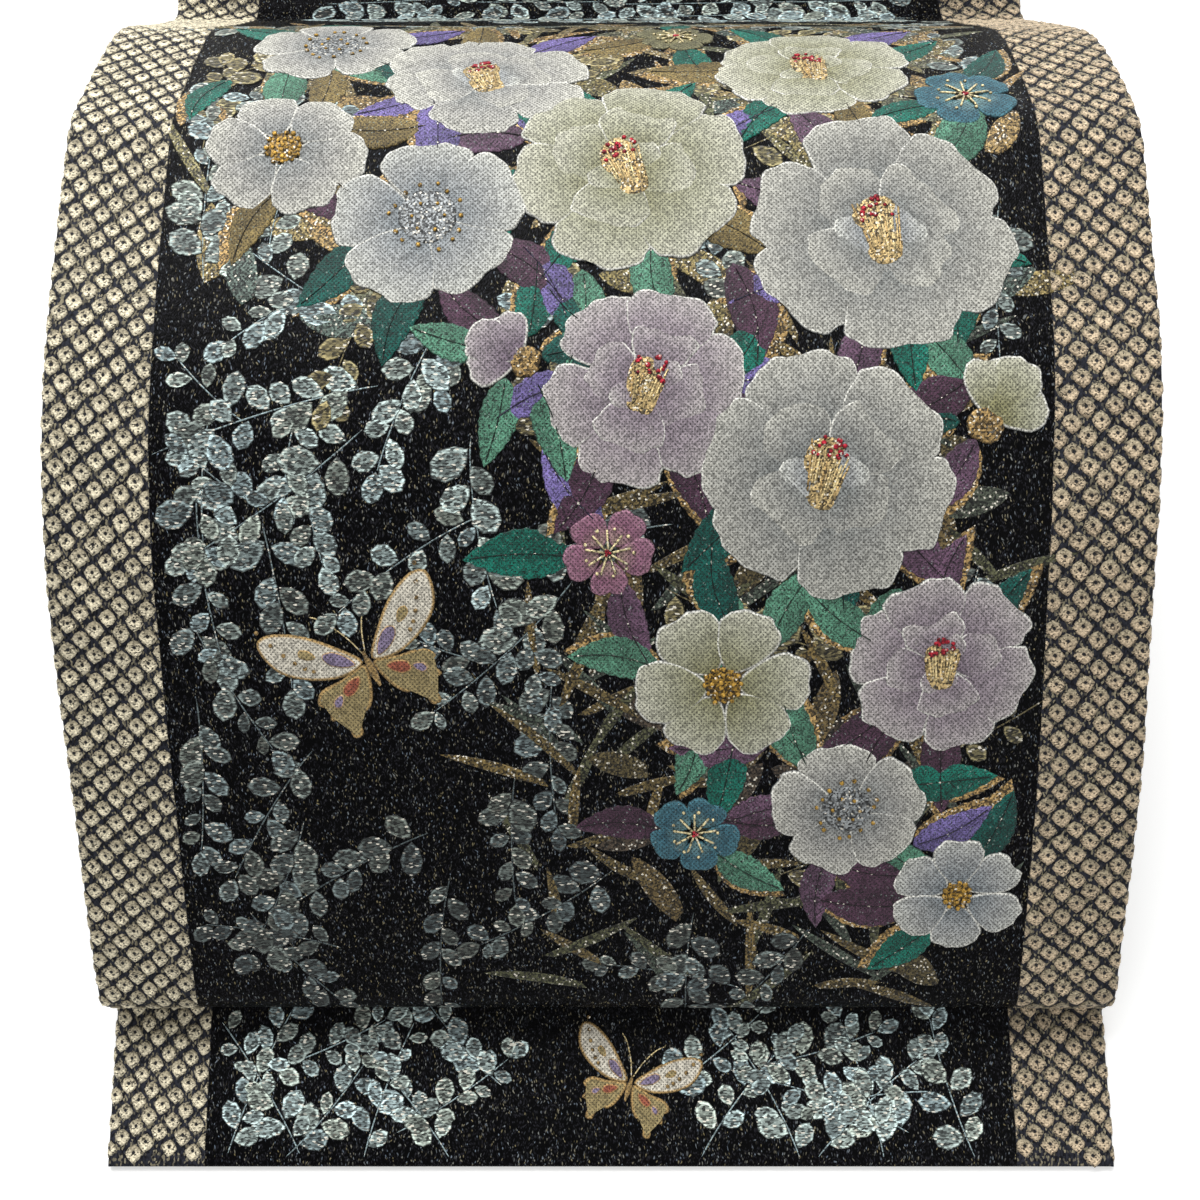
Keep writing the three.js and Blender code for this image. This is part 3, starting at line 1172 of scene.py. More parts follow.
@dataclass(frozen=True)
class CellBand:
    """A band of small tie-dye style cells, woven as cream pillows on navy, along one edge.

    across_step and along_step are the two vectors of the cells' lattice, and lines the widths of
    the dark lines between cells along each of them, mm of cloth.
    """

    side: Side
    across_step: Point
    along_step: Point
    cream: str
    lines: Point = (0.42, 0.86)
    shade: str = "#9a9078"
    pit: str = "#1d1e22"
    height: float = 0.42

    def cell_shape(self) -> FlatMesh:
        """One cell: a rounded rhomb between the lattice lines, dim above and with a dark pit."""
        a, b = np.array(self.across_step), np.array(self.along_step)
        area = abs(a[0] * b[1] - a[1] * b[0])
        minor, major = self.lines
        shares = (0.5 - minor * np.linalg.norm(b) / area / 2, 0.5 - major * np.linalg.norm(a) / area / 2)
        rim = []
        for i in range(8):
            c, s = math.cos(math.pi * i / 4), math.sin(math.pi * i / 4)
            grow = (abs(c) ** CORNER + abs(s) ** CORNER) ** (-1 / CORNER) * (1.1 if i == 5 else 1.0)
            rim.append(tuple(c * grow * shares[0] * a + s * grow * shares[1] * b))
        if signed_area(np.array(rim)) < 0:
            rim.reverse()
        half_long = max(y for _, y in rim)
        bright, dim, pit = (dyed(code) for code in (self.cream, self.shade, self.pit))
        flat = FlatMesh()
        rings = ((1.0, -0.5, 0.5), (0.94, 0.45, 0.7), (0.66, 1.0, 1.1), (0.26, 0.9, 0.9), (0.17, 0.6, 0.0))
        numbers = []
        for share, lift, tone in rings:
            lifted = 0.16 * (1 - share) * half_long
            points = [(x * share, y * share + lifted, lift * self.height) for x, y in rim]
            mix = [0.5 + 0.5 * math.tanh(2.4 * (y * share / half_long - 0.1)) for _, y in rim]
            dyes = [pit if tone == 0 else dimmed(blend(bright, dim, m), tone) for m in mix]
            numbers.append(flat.add(points, dyes))
        for outer, inner in zip(numbers, numbers[1:]):
            flat.join(outer, inner)
        flat.faces.append(tuple(numbers[-1]))
        flat.faces.append(tuple(reversed(numbers[0])))
        return flat

    def spots(self, ranges: Sequence[Point]) -> list[Spot]:
        """Every lattice place in the band, over the given ranges of the cloth's length."""
        chance = random.Random(SEED + self.side.value)
        low, high = PANEL - CELL_SPILL[0], HALF_WIDTH + CELL_SPILL[1]
        (ax, ay), (bx, by) = self.across_step, self.along_step
        made = []
        for start, end in ranges:
            reach = int((end - start) / min(ay, by)) + LATTICE_REACH
            for i in range(-LATTICE_REACH, reach):
                for j in range(-LATTICE_REACH, reach):
                    x = i * ax + j * bx + self.side.value * (PANEL + BAND / 2)
                    along = start + i * ay + j * by
                    if not (low < abs(x) < high and x * self.side.value > 0 and start < along < end):
                        continue
                    tone = chance.uniform(0.84, 1.1)
                    size = (chance.uniform(0.93, 1.05), chance.uniform(0.93, 1.06), 1.0)
                    turn = chance.gauss(0, 0.06)
                    shift = chance.gauss(0, 0.09), chance.gauss(0, 0.09)
                    made.append(Spot(x + shift[0], along + shift[1], turn, size, (tone, tone, tone)))
        return made

    def build(self, walk: ClothWalk) -> bpy.types.Object:
        """Weaves the band's cells.

        Args:
            walk: the cloth's path.

        Returns:
            The cells as one piece.
        """
        top = walk.span(f"layer {LAYERS - 1}")
        folds = [walk.span(f"fold {n}") for n in range(1, LAYERS - 1, 2)]
        ranges = [
            (END_MARGIN, walk.span("flat end")[1] - 2),
            (walk.span("skirt")[0] - 14, walk.span("run")[1] + 8),
            (top[0] - FOLD_LENGTH, top[1] - END_MARGIN),
            *folds[:-1],
        ]
        pattern = Repeat(
            f"band_cells_{self.side.name.lower()}",
            self.cell_shape(),
            CELL_SILK,
            size_spread=0.03,
            turn_spread=0.03,
            seed=SEED + self.side.value,
        )
        limits = sorted((self.side.value * (PANEL + 0.15), self.side.value * (HALF_WIDTH + 0.6)))
        return pattern.weave(walk, self.spots(ranges), limits)


LEFT_BAND = CellBand(Side.LEFT, (3.9, 3.2), (-3.4, 4.6), "#efe4c6")
RIGHT_BAND = CellBand(Side.RIGHT, (-4.5, 3.8), (3.7, 4.35), "#cfba9c")


# ------------------------------------------------------------------ the woven garden


class Tone(Enum):
    """Dye sets of the flowers: heart, middle and rim of a petal."""

    IVORY = ("#7b7f7f", "#9d9c97", "#bab9af")
    PEARL = ("#6c7171", "#8f8f8a", "#adaca3")
    CREAM = ("#7d7b58", "#9b9b85", "#b5b4a3")
    MAUVE = ("#6d606c", "#8d8389", "#aaa4a2")
    SILVER = ("#737b80", "#989a99", "#b6b7b0")
    BLUE = ("#6d8a8a", "#2f5664", "#3f6a76")
    ROSE = ("#a08a7e", "#80566b", "#8e6778")
    MOSS = ("#958d62", "#5c5a42", "#6e6b4f")

    @property
    def pale(self) -> bool:
        """Whether its petals are pale enough for a bright rim."""
        return int(self.value[2][1:3], 16) >= 0xA0

    def share(self, amount: np.ndarray) -> np.ndarray:
        """The dye at a share of the way from the heart, 0, to the rim, 1, for each number."""
        heart, middle, rim = (np.array(dyed(code)) for code in self.value)
        low = np.clip(amount / 0.55, 0, 1)[:, None]
        high = np.clip((amount - 0.55) / 0.45, 0, 1)[:, None]
        return (heart + (middle - heart) * low) * (1 - high) + rim * high


GOLD = dyed("#b0915c")
PALE_GOLD = dyed("#cab888")
CRIMSON = dyed("#9c1c2c")
GROOVE = dyed("#4f5355")
RIM_LIGHT = dyed("#dcdbd2")
PEWTER = dyed("#a9bfc2")
OLIVE = dyed("#a19468")


def smooth_loop(corners: Sequence[Point], per_side: int, closed: bool = True) -> np.ndarray:
    """Runs a smooth curve through a few points.

    Args:
        corners: the points.
        per_side: points on each side between two of them.
        closed: true to join the last to the first.

    Returns:
        The curve's points.
    """
    knots = np.array(corners, float)
    count = len(knots)
    sides = count if closed else count - 1
    made = []
    for i in range(sides):
        before = knots[(i - 1) % count] if closed or i > 0 else knots[0]
        after = knots[(i + 2) % count] if closed or i + 2 < count else knots[-1]
        a, b = knots[i], knots[(i + 1) % count]
        for t in np.arange(per_side) / per_side:
            square = (2 * before - 5 * a + 4 * b - after) * t**2
            cube = (3 * a - before - 3 * b + after) * t**3
            made.append(0.5 * (2 * a + (b - before) * t + square + cube))
    if not closed:
        made.append(knots[-1])
    return np.array(made)


@dataclass(frozen=True)
class Petal:
    """One petal: mm long and wide, how full its outer part is, and its ruffle and notch in mm."""

    length: float
    width: float
    full: float = 0.5
    ruffle: float = 0.5
    notch: float = 0.8

    def outline(self, chance: random.Random) -> np.ndarray:
        """Points round the petal, its foot at 0, 0 and its tip up."""
        count = max(30, int((self.length + self.width) * 1.1))
        turn = np.arange(count) / count * 2 * math.pi
        rise = (1 - np.cos(turn)) / 2
        wide = np.sin(turn) * (1 - self.full + self.full * rise**0.8) * self.width / 2
        wide *= 1.0 + 0.18 * self.full
        tall = self.length * rise**0.92
        tip = np.exp(-((turn - math.pi) ** 2) / 0.05)
        wave = sum(
            np.sin(k * turn + chance.uniform(0, 2 * math.pi)) * (3.0 / k) for k in (5, 8, 11, 16)
        )
        outer = self.ruffle * wave * np.clip(rise * 1.6 - 0.35, 0, 1)
        away = np.stack([wide, tall - self.length * 0.55], 1)
        away /= np.maximum(np.linalg.norm(away, axis=1, keepdims=True), 1e-6)
        return np.stack([wide, tall - self.notch * tip], 1) + away * outer[:, None]


class FlowerKind(Enum):
    """The flowers of the garden."""

    CAMELLIA = "camellia"
    OPEN = "open flower with a ring of stamens"
    SINGLE = "single flower with a disc of stamens"
    BUD = "bud"
    PLUM = "plum blossom"


@dataclass(frozen=True)
class Flower:
    """One flower: where its heart is in flat cloth, its span in mm, its turn and its dye."""

    kind: FlowerKind
    across: float
    along: float
    span: float
    turn: float = 0.0
    tone: Tone = Tone.IVORY
    squash: float = 0.9
    base: float = 0.5
    leaves: int = 6

    @property
    def heart(self) -> Point:
        """The middle of the flower in flat cloth, mm."""
        return self.across, self.along


# Corners of a column of stamens, as shares of its width and height.
COLUMN_CORNERS = (
    (-0.36, -0.55), (0.3, -0.6), (0.44, -0.1), (0.54, 0.36), (0.2, 0.62), (-0.24, 0.6), (-0.55, 0.3),
)
CRIMSON_KNOTS = 17  # knots on top of one column
FINE_STEP = 1.6  # mesh step of the smallest patches, mm
BRANCHING = 48  # a spray's stem longer than this carries two side sprays, mm
WING_UNIT = 24  # span of one wing in the butterfly's own units


@dataclass
class Garden:
    """Collects everything woven over the dark ground, kind by kind, before it is laid."""

    walk: ClothWalk
    seed: int = SEED
    petals: FlatMesh = field(default_factory=FlatMesh)
    leaves: FlatMesh = field(default_factory=FlatMesh)
    gilt: FlatMesh = field(default_factory=FlatMesh)
    lines: FlatMesh = field(default_factory=FlatMesh)
    wings: FlatMesh = field(default_factory=FlatMesh)
    threads: list[Spot] = field(default_factory=list)
    knots: list[Spot] = field(default_factory=list)
    sprigs: list[Spot] = field(default_factory=list)
    chance: random.Random = field(init=False)

    def __post_init__(self) -> None:
        """Starts the garden's own fixed chance."""
        self.chance = random.Random(self.seed)

    # -- flowers --

    def petal(
        self, flower: Flower, shape: Petal, turn: float, foot: float, height: float, tone: Tone
    ) -> None:
        """Adds one petal of a flower.

        Args:
            flower: the flower.
            shape: the petal.
            turn: degrees from the flower's own turn.
            foot: distance of the petal's foot from the heart, mm.
            height: how far it stands on the cloth, mm.
            tone: its dye.
        """
        points = shape.outline(self.chance) + np.array([0.0, foot])
        points = turned(points, turn) * np.array([1.0, flower.squash])
        points = turned(points, flower.turn, flower.heart)
        heart = np.array(flower.heart)
        reach = foot + shape.length
        lift = self.chance.uniform(-0.05, 0.05)
        axis = turned_point(0.0, 1.0, turn + flower.turn)
        side = np.array([-axis[1], axis[0]])

        def dye(at: np.ndarray) -> np.ndarray:
            """Heart to rim, with faint streaks along the petal."""
            away = at - heart
            share = np.linalg.norm(away, axis=1) / reach
            streak = np.sin(away @ side * 0.9 + share * 5) * 0.05
            return tone.share(np.clip((share - 0.2) / 0.75 + lift + streak, 0, 1))

        relief = Relief(height=height, rim=0.4, shoulder=0.5, crown=0.3)
        rim = dye(heart[None] + axis * reach)[0]
        dark = GROOVE if tone.pale else dimmed(rim, 0.35)
        light = RIM_LIGHT if tone.pale else rim * 1.25
        add_patch(self.petals, points, relief, dye, rim_dye=light, edge_dye=dark)

    def ring(
        self, flower: Flower, count: int, shape: Petal, start: float, foot: float, height: float, tone: Tone
    ) -> None:
        """Adds a ring of petals, each a little different, alternate ones on top."""
        order = list(range(0, count, 2)) + list(range(1, count, 2))
        for place, i in enumerate(order):
            grown = Petal(
                shape.length * self.chance.uniform(0.92, 1.06),
                shape.width * self.chance.uniform(0.93, 1.08),
                shape.full,
                shape.ruffle,
                shape.notch * self.chance.uniform(0.3, 1.5),
            )
            turn = start + 360 * i / count + self.chance.uniform(-5, 5)
            self.petal(flower, grown, turn, foot, height + 0.04 * place, tone)

    def dots(self, centre: Point, radius: float, count: int, size: float, dye: Colour, lift: float) -> None:
        """Adds a ring of small raised knots."""
        for i in range(count):
            angle = 2 * math.pi * i / count + self.chance.uniform(-0.12, 0.12)
            away = radius * self.chance.uniform(0.9, 1.1)
            tone = self.chance.uniform(0.8, 1.2)
            grown = size * self.chance.uniform(0.85, 1.15)
            x, along = centre[0] + away * math.cos(angle), centre[1] + away * math.sin(angle)
            self.knots.append(Spot(x, along, angle, (grown, grown, 1.0), dimmed(dye, tone), lift))

    def column(self, flower: Flower, wide: float, tall: float, lift: float) -> None:
        """Adds a column of upright gold stamens topped by crimson knots."""
        tilt = self.chance.uniform(-24, 24)
        heart = flower.heart
        block = smooth_loop([(cx * wide, cy * tall) for cx, cy in COLUMN_CORNERS], 4)
        add_patch(
            self.gilt,
            turned(block, tilt, heart),
            Relief(height=lift, rim=0.3, shoulder=0.5, crown=0.2, step=FINE_STEP),
            plain(blend(GOLD, PALE_GOLD, 0.4)),
            edge_dye=dimmed(GOLD, 0.4),
        )
        rows = int(wide / 0.9)
        for i in range(rows):
            share = (i + 0.5) / rows * 2 - 1
            long = tall * self.chance.uniform(0.5, 1.0)
            middle = self.chance.uniform(-0.1, 0.1) * tall
            x, along = turned_point(share * wide * 0.4, middle, tilt, heart)
            dye = dimmed(blend(GOLD, PALE_GOLD, self.chance.random()), self.chance.uniform(0.7, 1.2))
            angle = math.radians(tilt) - share * 0.2
            self.threads.append(Spot(x, along, angle, (0.6, long, 1.0), dye, lift + 0.05))
        for _ in range(CRIMSON_KNOTS):
            share = self.chance.uniform(-0.85, 0.85)
            high = self.chance.uniform(0.26, 0.66) - share * share * 0.16
            x, along = turned_point(share * wide * 0.46, high * tall, tilt, heart)
            size = self.chance.uniform(1.2, 1.8)
            dye = dimmed(CRIMSON, self.chance.uniform(0.6, 1.2))
            self.knots.append(Spot(x, along, 0.0, (size, size * 0.9, 1.0), dye, lift + 0.15))

    def flower(self, flower: Flower) -> None:
        """Adds one flower, by its kind."""
        makers = {
            FlowerKind.CAMELLIA: self.camellia,
            FlowerKind.OPEN: self.open_flower,
            FlowerKind.SINGLE: self.single,
            FlowerKind.BUD: self.bud,
            FlowerKind.PLUM: self.plum,
        }
        makers[flower.kind](flower)

    def camellia(self, flower: Flower) -> None:
        """A full camellia: an outer and an inner ring of broad petals and a stamen column."""
        r, tone, base = flower.span / 2, flower.tone, flower.base
        start = self.chance.uniform(0, 60)
        outer = Petal(r * 0.82, r * 0.98, 0.62, 1.0, 1.4)
        self.ring(flower, 6, outer, start, r * 0.18, base, tone)
        inner = Petal(r * 0.6, r * 0.78, 0.55, 0.8, 1.0)
        self.ring(flower, 4, inner, start + 30, r * 0.04, base + 0.26, tone)
        cup = Petal(r * 0.42, r * 0.5, 0.4, 0.4, 0.3)
        cup_tone = Tone.SILVER if tone in (Tone.IVORY, Tone.PEARL) else tone
        self.ring(flower, 2, cup, start + 100, -r * 0.04, base + 0.44, cup_tone)
        self.column(flower, r * 0.36, r * 0.44, base + 0.56)

    def open_flower(self, flower: Flower) -> None:
        """A flat flower with five broad petals, a silver heart and a ring of gold dots."""
        r, base = flower.span / 2, flower.base
        shape = Petal(r * 0.86, r * 1.06, 0.6, 0.55, 1.6)
        self.ring(flower, 5, shape, self.chance.uniform(0, 70), r * 0.12, base, flower.tone)
        disc = Petal(r * 0.62, r * 0.62, 0.0, 0.3, 0.0).outline(self.chance)
        points = disc + np.array([flower.across, flower.along - r * 0.31])
        silver = plain(Tone.SILVER.share(np.array([0.35]))[0])
        add_patch(self.gilt, points, Relief(height=base + 0.4), silver, edge_dye=GROOVE)
        brown = dyed("#9b7a34")
        self.dots(flower.heart, r * 0.36, 14, 1.3, brown, base + 0.5)
        self.dots(flower.heart, r * 0.16, 6, 1.2, brown, base + 0.6)

    def single(self, flower: Flower) -> None:
        """A small flower with five or six oval petals and a disc of gold stamens."""
        r, base = flower.span / 2, flower.base
        shape = Petal(r * 0.84, r * 0.88, 0.5, 0.5, 0.9)
        self.ring(flower, 6, shape, self.chance.uniform(0, 60), r * 0.16, base, flower.tone)
        brown = dyed("#a98436")
        disc = Petal(r * 0.42, r * 0.44, 0.0, 0.2, 0.0).outline(self.chance) - [0, r * 0.21]
        relief = Relief(height=base + 0.36, step=FINE_STEP)
        middle, edge = plain(dimmed(brown, 0.7)), dimmed(brown, 0.3)
        add_patch(self.gilt, disc + np.array(flower.heart), relief, middle, edge_dye=edge)
        for radius, count in ((r * 0.2, 12), (r * 0.12, 8), (r * 0.04, 3)):
            self.dots(flower.heart, radius, count, 1.5, brown, base + 0.45)

    def bud(self, flower: Flower) -> None:
        """A half-open bud: three cupped petals in a gold calyx."""
        r, base = flower.span / 2, flower.base
        foot = Petal(r * 0.7, r * 0.75, 0.2, 0.4, 0.0)
        points = turned(foot.outline(self.chance) * np.array([1, -1]), flower.turn)
        points = points + np.array(flower.heart) + turned_point(0.0, 0.15 * r, flower.turn)
        calyx, edge = plain(dimmed(GOLD, 0.8)), dimmed(GOLD, 0.3)
        add_patch(self.gilt, points, Relief(height=base + 0.2), calyx, edge_dye=edge)
        for turn, long in ((38.0, 1.25), (-38.0, 1.2), (0.0, 1.45)):
            shape = Petal(r * long, r * 1.15, 0.5, 0.5, 0.8)
            self.petal(flower, shape, turn, -0.1 * r, base + 0.1 + 0.1 * (turn == 0), flower.tone)

    def plum(self, flower: Flower) -> None:
        """A plum blossom: five round petals, a pale heart and fine stamens with dots."""
        r, base = flower.span / 2, flower.base
        shape = Petal(r * 0.82, r * 0.92, 0.45, 0.25, 0.9)
        self.ring(flower, 5, shape, flower.turn, r * 0.16, base, flower.tone)
        stamens, middle, pale = 9, r * 0.26, dyed("#cdbf92")
        for i in range(stamens):
            angle = 2 * math.pi * i / stamens + 0.2
            x = flower.across + middle * math.cos(angle)
            along = flower.along + middle * math.sin(angle)
            size = (0.6, r * 0.4, 1.0)
            self.threads.append(Spot(x, along, angle - math.pi / 2, size, pale, base + 0.38))
        self.dots(flower.heart, r * 0.5, stamens, 1.0, pale, base + 0.4)
        self.dots(flower.heart, 0.6, 3, 1.1, CRIMSON, base + 0.45)

    # -- leaves --

    def leaf(
        self, x: float, along: float, long: float, wide: float, turn: float, dye: str, base: float
    ) -> None:
        """Adds a leaf: gold along one side, two halves of different depth and a broken midrib.

        Args:
            x: across of its foot, mm.
            along: along of its foot, mm.
            long: its length, mm.
            wide: its width, mm.
            turn: degrees anticlockwise from pointing along the cloth.
            dye: hex colour of its foot; its tip is lighter.
            base: how far it stands on the cloth.
        """
        count = 18
        share = np.linspace(0, 1, count)
        bend = self.chance.uniform(-0.12, 0.12) * long
        spine = np.stack([bend * np.sin(share * math.pi) * 0.9, long * share], 1)
        half = wide / 2 * np.sin(np.pi * share**0.8) ** 0.85
        tooth = np.where(np.arange(count) % 2, 0.25, -0.15)
        left = spine + np.stack([-(half + tooth * (half > 1.2)), 0 * half], 1)
        right = spine + np.stack([half + tooth * (half > 1.2), 0 * half], 1)
        inner_dye = dyed(dye)
        tip_dye = dimmed(inner_dye, 1.5)
        foot = np.array([x, along])
        axis = turned_point(0.0, 1.0, turn)
        side = np.array([axis[1], -axis[0]])
        gold = dimmed(GOLD, self.chance.uniform(0.65, 1.0))
        grown = np.concatenate([left, right[-2:0:-1]])
        if self.chance.random() < 0.72:
            aside = self.chance.choice((-1, 1)) * self.chance.uniform(1.0, 2.6)
            shift = [aside, self.chance.uniform(0.5, 3.0)]
            under = turned((grown - spine.mean(0)) * [0.96, 1.04] + spine.mean(0) + shift, turn, (x, along))
            relief = Relief(height=base, rim=0.35, shoulder=0.6, crown=0.1)
            add_patch(self.gilt, under, relief, plain(gold), edge_dye=dimmed(gold, 0.35))

        def colour(at: np.ndarray) -> np.ndarray:
            """Foot to tip, one half darker, with faint side veins."""
            away = at - foot
            up = np.clip(away @ axis / long, 0, 1)[:, None]
            darker = np.where(away @ side > 0, 0.72, 1.05)[:, None]
            vein = 0.9 + 0.1 * np.sin(away @ axis * 1.6 - np.abs(away @ side) * 1.4)[:, None]
            return (np.array(inner_dye) * (1 - up**1.6) + np.array(tip_dye) * up**1.6) * darker * vein

        add_patch(
            self.leaves,
            turned(grown, turn, (x, along)),
            Relief(height=base + 0.14, rim=0.35, shoulder=0.7, crown=0.2),
            colour,
            edge_dye=dimmed(inner_dye, 0.3),
        )
        dark = dimmed(inner_dye, 0.12)
        for first in range(1, count - 3, 3):
            piece = turned(spine[first : first + 4] * [1, 0.99], turn, (x, along))
            add_strip(self.lines, piece, 0.6, 0.1, dark, base + 0.26)

    def wreath(self, flower: Flower, dyes: Sequence[str]) -> None:
        """Adds the leaves that stand out from under a flower, unevenly spaced."""
        start = self.chance.uniform(0, 360)
        for i in range(flower.leaves):
            turn = start + 360 * (i + self.chance.uniform(-0.28, 0.28)) / flower.leaves
            long = self.chance.uniform(24, 32)
            away = flower.span / 2 * self.chance.uniform(0.5, 0.72)
            foot = turned_point(0.0, away, turn) * [1, flower.squash]
            lean = turn + self.chance.uniform(-28, 28)
            x, along = flower.across + foot[0], flower.along + foot[1]
            tip = x - math.sin(math.radians(lean)) * long
            if abs(tip) < PANEL - 4 and abs(x) < PANEL - 6:
                wide = long * self.chance.uniform(0.38, 0.46)
                base = 0.1 + 0.03 * i + self.chance.uniform(0, 0.02)
                self.leaf(x, along, long, wide, lean, self.chance.choice(dyes), base)

    def blade(
        self, x: float, along: float, long: float, turn: float, bend: float, dye: str, wide: float
    ) -> None:
        """Adds a slim blade of grass, hatched, with a bright back."""
        share = np.linspace(0, 1, 14)
        spine = np.stack([bend * share**2, long * share], 1)
        half = (wide / 2 * np.sin(np.pi * (0.08 + 0.92 * share)) ** 0.7)[:, None]
        outline = np.concatenate([spine - [1, 0] * half, (spine + [1, 0] * half)[-2:0:-1]])
        colour = np.array(dyed(dye))
        add_patch(
            self.gilt,
            turned(outline, turn, (x, along)),
            Relief(height=self.chance.uniform(0.08, 0.2), rim=0.3, shoulder=0.4, crown=0.05, step=4.0),
            plain(colour * 0.85),
            rim_dye=colour * 1.15,
            edge_dye=colour * 0.3,
        )

    def spray(
        self,
        x: float,
        along: float,
        long: float,
        turn: float,
        bend: float,
        size: float,
        light: float,
        yarn: Colour = PEWTER,
    ) -> None:
        """Adds a spray: a fine stem that bends, with small leaves in pairs and one at its tip.

        Args:
            x: across of its foot, mm.
            along: along of its foot, mm.
            long: the stem's length, mm.
            turn: degrees anticlockwise from pointing along the cloth.
            bend: how far the tip swings to its left, mm.
            size: the leaves' length, mm.
            light: how bright its yarn is, 1 the usual; the tables also paint light and shade into it,
                darker on the drum's lower face.
            yarn: the yarn's linear colour.
        """
        share = np.linspace(0, 1, 20)
        local = np.stack([-bend * share**1.7, long * share], 1)
        path = turned(local, turn, (x, along))
        # The stem is the yarn dimmed, with the spray's painted light and shade.
        add_strip(self.lines, path, 0.55, 0.1, dimmed(yarn, 0.55 * light))
        heading = np.unwrap(np.arctan2(np.gradient(path[:, 1]), np.gradient(path[:, 0])))

        def at_share(place: float) -> tuple[np.ndarray, float]:
            """The stem's point and heading at a share of its length."""
            here = [np.interp(place, share, path[:, 0]), np.interp(place, share, path[:, 1])]
            return np.array(here), float(np.interp(place, share, heading))

        pairs = max(2, int(long / (size * 0.92)))
        for i in range(1, pairs + 1):
            for way in (-1, 1):
                here, ahead = at_share((i - 0.35 + 0.2 * way + self.chance.uniform(-0.2, 0.2)) / pairs)
                lean = ahead + way * self.chance.uniform(0.4, 1.2)
                grown = size * self.chance.uniform(0.9, 1.45) * (1.08 - 0.36 * i / pairs)
                self.sprig(here, lean, grown, light, yarn)
        self.sprig(path[-1], float(heading[-1]), size, light, yarn)
        if long > BRANCHING:
            for place, way in ((0.34, 1), (0.6, -1)):
                here, ahead = at_share(place)
                aside = math.degrees(ahead) - 90 + way * self.chance.uniform(42, 62)
                self.spray(here[0], here[1], long * 0.42, aside, way * 5, size * 0.92, light * 0.92, yarn)

    def sprig(self, foot: np.ndarray, heading: float, long: float, light: float, yarn: Colour) -> None:
        """Adds one small leaf of a spray, its foot at a point."""
        middle = foot + (long * 0.5 + 0.5) * np.array([math.cos(heading), math.sin(heading)])
        if abs(middle[0]) > PANEL - long * 0.45 or middle[1] < 1.5 + long * 0.5:
            return
        # Each small leaf's yarn differs at random, times the spray's painted light and shade.
        glint = self.chance.uniform(0.5, 1.2) * light
        warm = self.chance.random() * 0.45
        dye = dimmed(blend(yarn, dyed("#a9a47c"), warm), glint)
        width = self.chance.uniform(0.6, 0.8)
        lift = self.chance.uniform(0.0, 0.16)
        self.sprigs.append(
            Spot(middle[0], middle[1], heading - math.pi / 2, (long * width, long, 1.0), dye, lift)
        )

    # -- butterflies --

    def butterfly(self, x: float, along: float, size: float, turn: float) -> None:
        """Adds a butterfly with open wings: ivory fore wings, gold hind wings with tails."""
        codes = ("#d2ccbc", "#93845c", "#7b6f88", "#8e4f3c")
        ivory, gold, violet, brick = (np.array(dyed(code)) for code in codes)
        fore = (
            (1.2, 1.2), (6.0, 7.6), (12.5, 13.6), (19.5, 17.0), (23.6, 16.2),
            (23.8, 11.6), (21.4, 6.4), (15.4, 2.0), (7.6, -0.4),
        )
        hind = (
            (1.2, 0.4), (8.2, -0.8), (14.4, -1.4), (16.8, -4.4), (14.8, -6.6), (15.6, -9.6),
            (12.2, -10.4), (12.6, -15.6), (9.8, -15.8), (8.6, -11.0), (5.2, -10.4), (2.4, -6.4),
        )
        scale = size / WING_UNIT
        for way in (-1, 1):
            for corners, lift, outer in ((hind, 0.3, gold), (fore, 0.42, ivory)):
                loop = smooth_loop([(cx * way, cy) for cx, cy in corners], 4) * scale
                placed = turned(loop, turn, (x, along))
                relief = Relief(height=lift, rim=0.5, shoulder=0.6)
                dye = lighter_outwards(outer, placed)
                add_patch(self.wings, placed, relief, dye, rim_dye=GOLD, edge_dye=dimmed(GOLD, 0.4))
            cells = (
                (6.6, 4.0, 4.4, 9.0, -52, violet, 0.6), (13.4, 8.4, 3.2, 5.0, -50, gold, 0.6),
                (6.6, -3.4, 4.0, 6.6, -118, brick, 0.5), (11.4, -5.6, 3.0, 4.2, -130, violet, 0.5),
            )
            for cx, cy, wide, long, lean, inner, lift in cells:
                cell = Petal(long, wide, 0.3, 0.1, 0.0).outline(self.chance) - [0, long / 2]
                cell = turned(turned(cell, lean * way, (cx * way, cy)) * scale, turn, (x, along))
                relief = Relief(height=lift + 0.08, rim=0.3, shoulder=0.3, step=FINE_STEP)
                add_patch(self.wings, cell, relief, plain(inner), rim_dye=dimmed(GOLD, 1.1))
            for i in range(6):
                out, up = way * (13.6 + 1.7 * i), 4.0 + 1.2 * i + 0.35 * i * i
                spot = turned_point(out * scale, up * scale, turn, (x, along))
                self.knots.append(Spot(*spot, 0.0, (1.3, 1.3, 1.0), dimmed(GOLD, 0.6), 0.7))
            feeler = np.array([(0.3 * way, 3.0), (2.4 * way, 9.0), (5.6 * way, 14.5), (8.2 * way, 17.0)])
            path = turned(smooth_loop(feeler * scale, 5, closed=False), turn, (x, along))
            add_strip(self.lines, path, 0.5, 0.12, PALE_GOLD)
        body = turned(np.array([(0, -6.0), (0, -3.0), (0, 0.0), (0, 3.6)]) * scale, turn, (x, along))
        add_strip(self.wings, body, 2.0 * scale, 0.35, dimmed(GOLD, 0.7), 0.4)

    # -- laying --

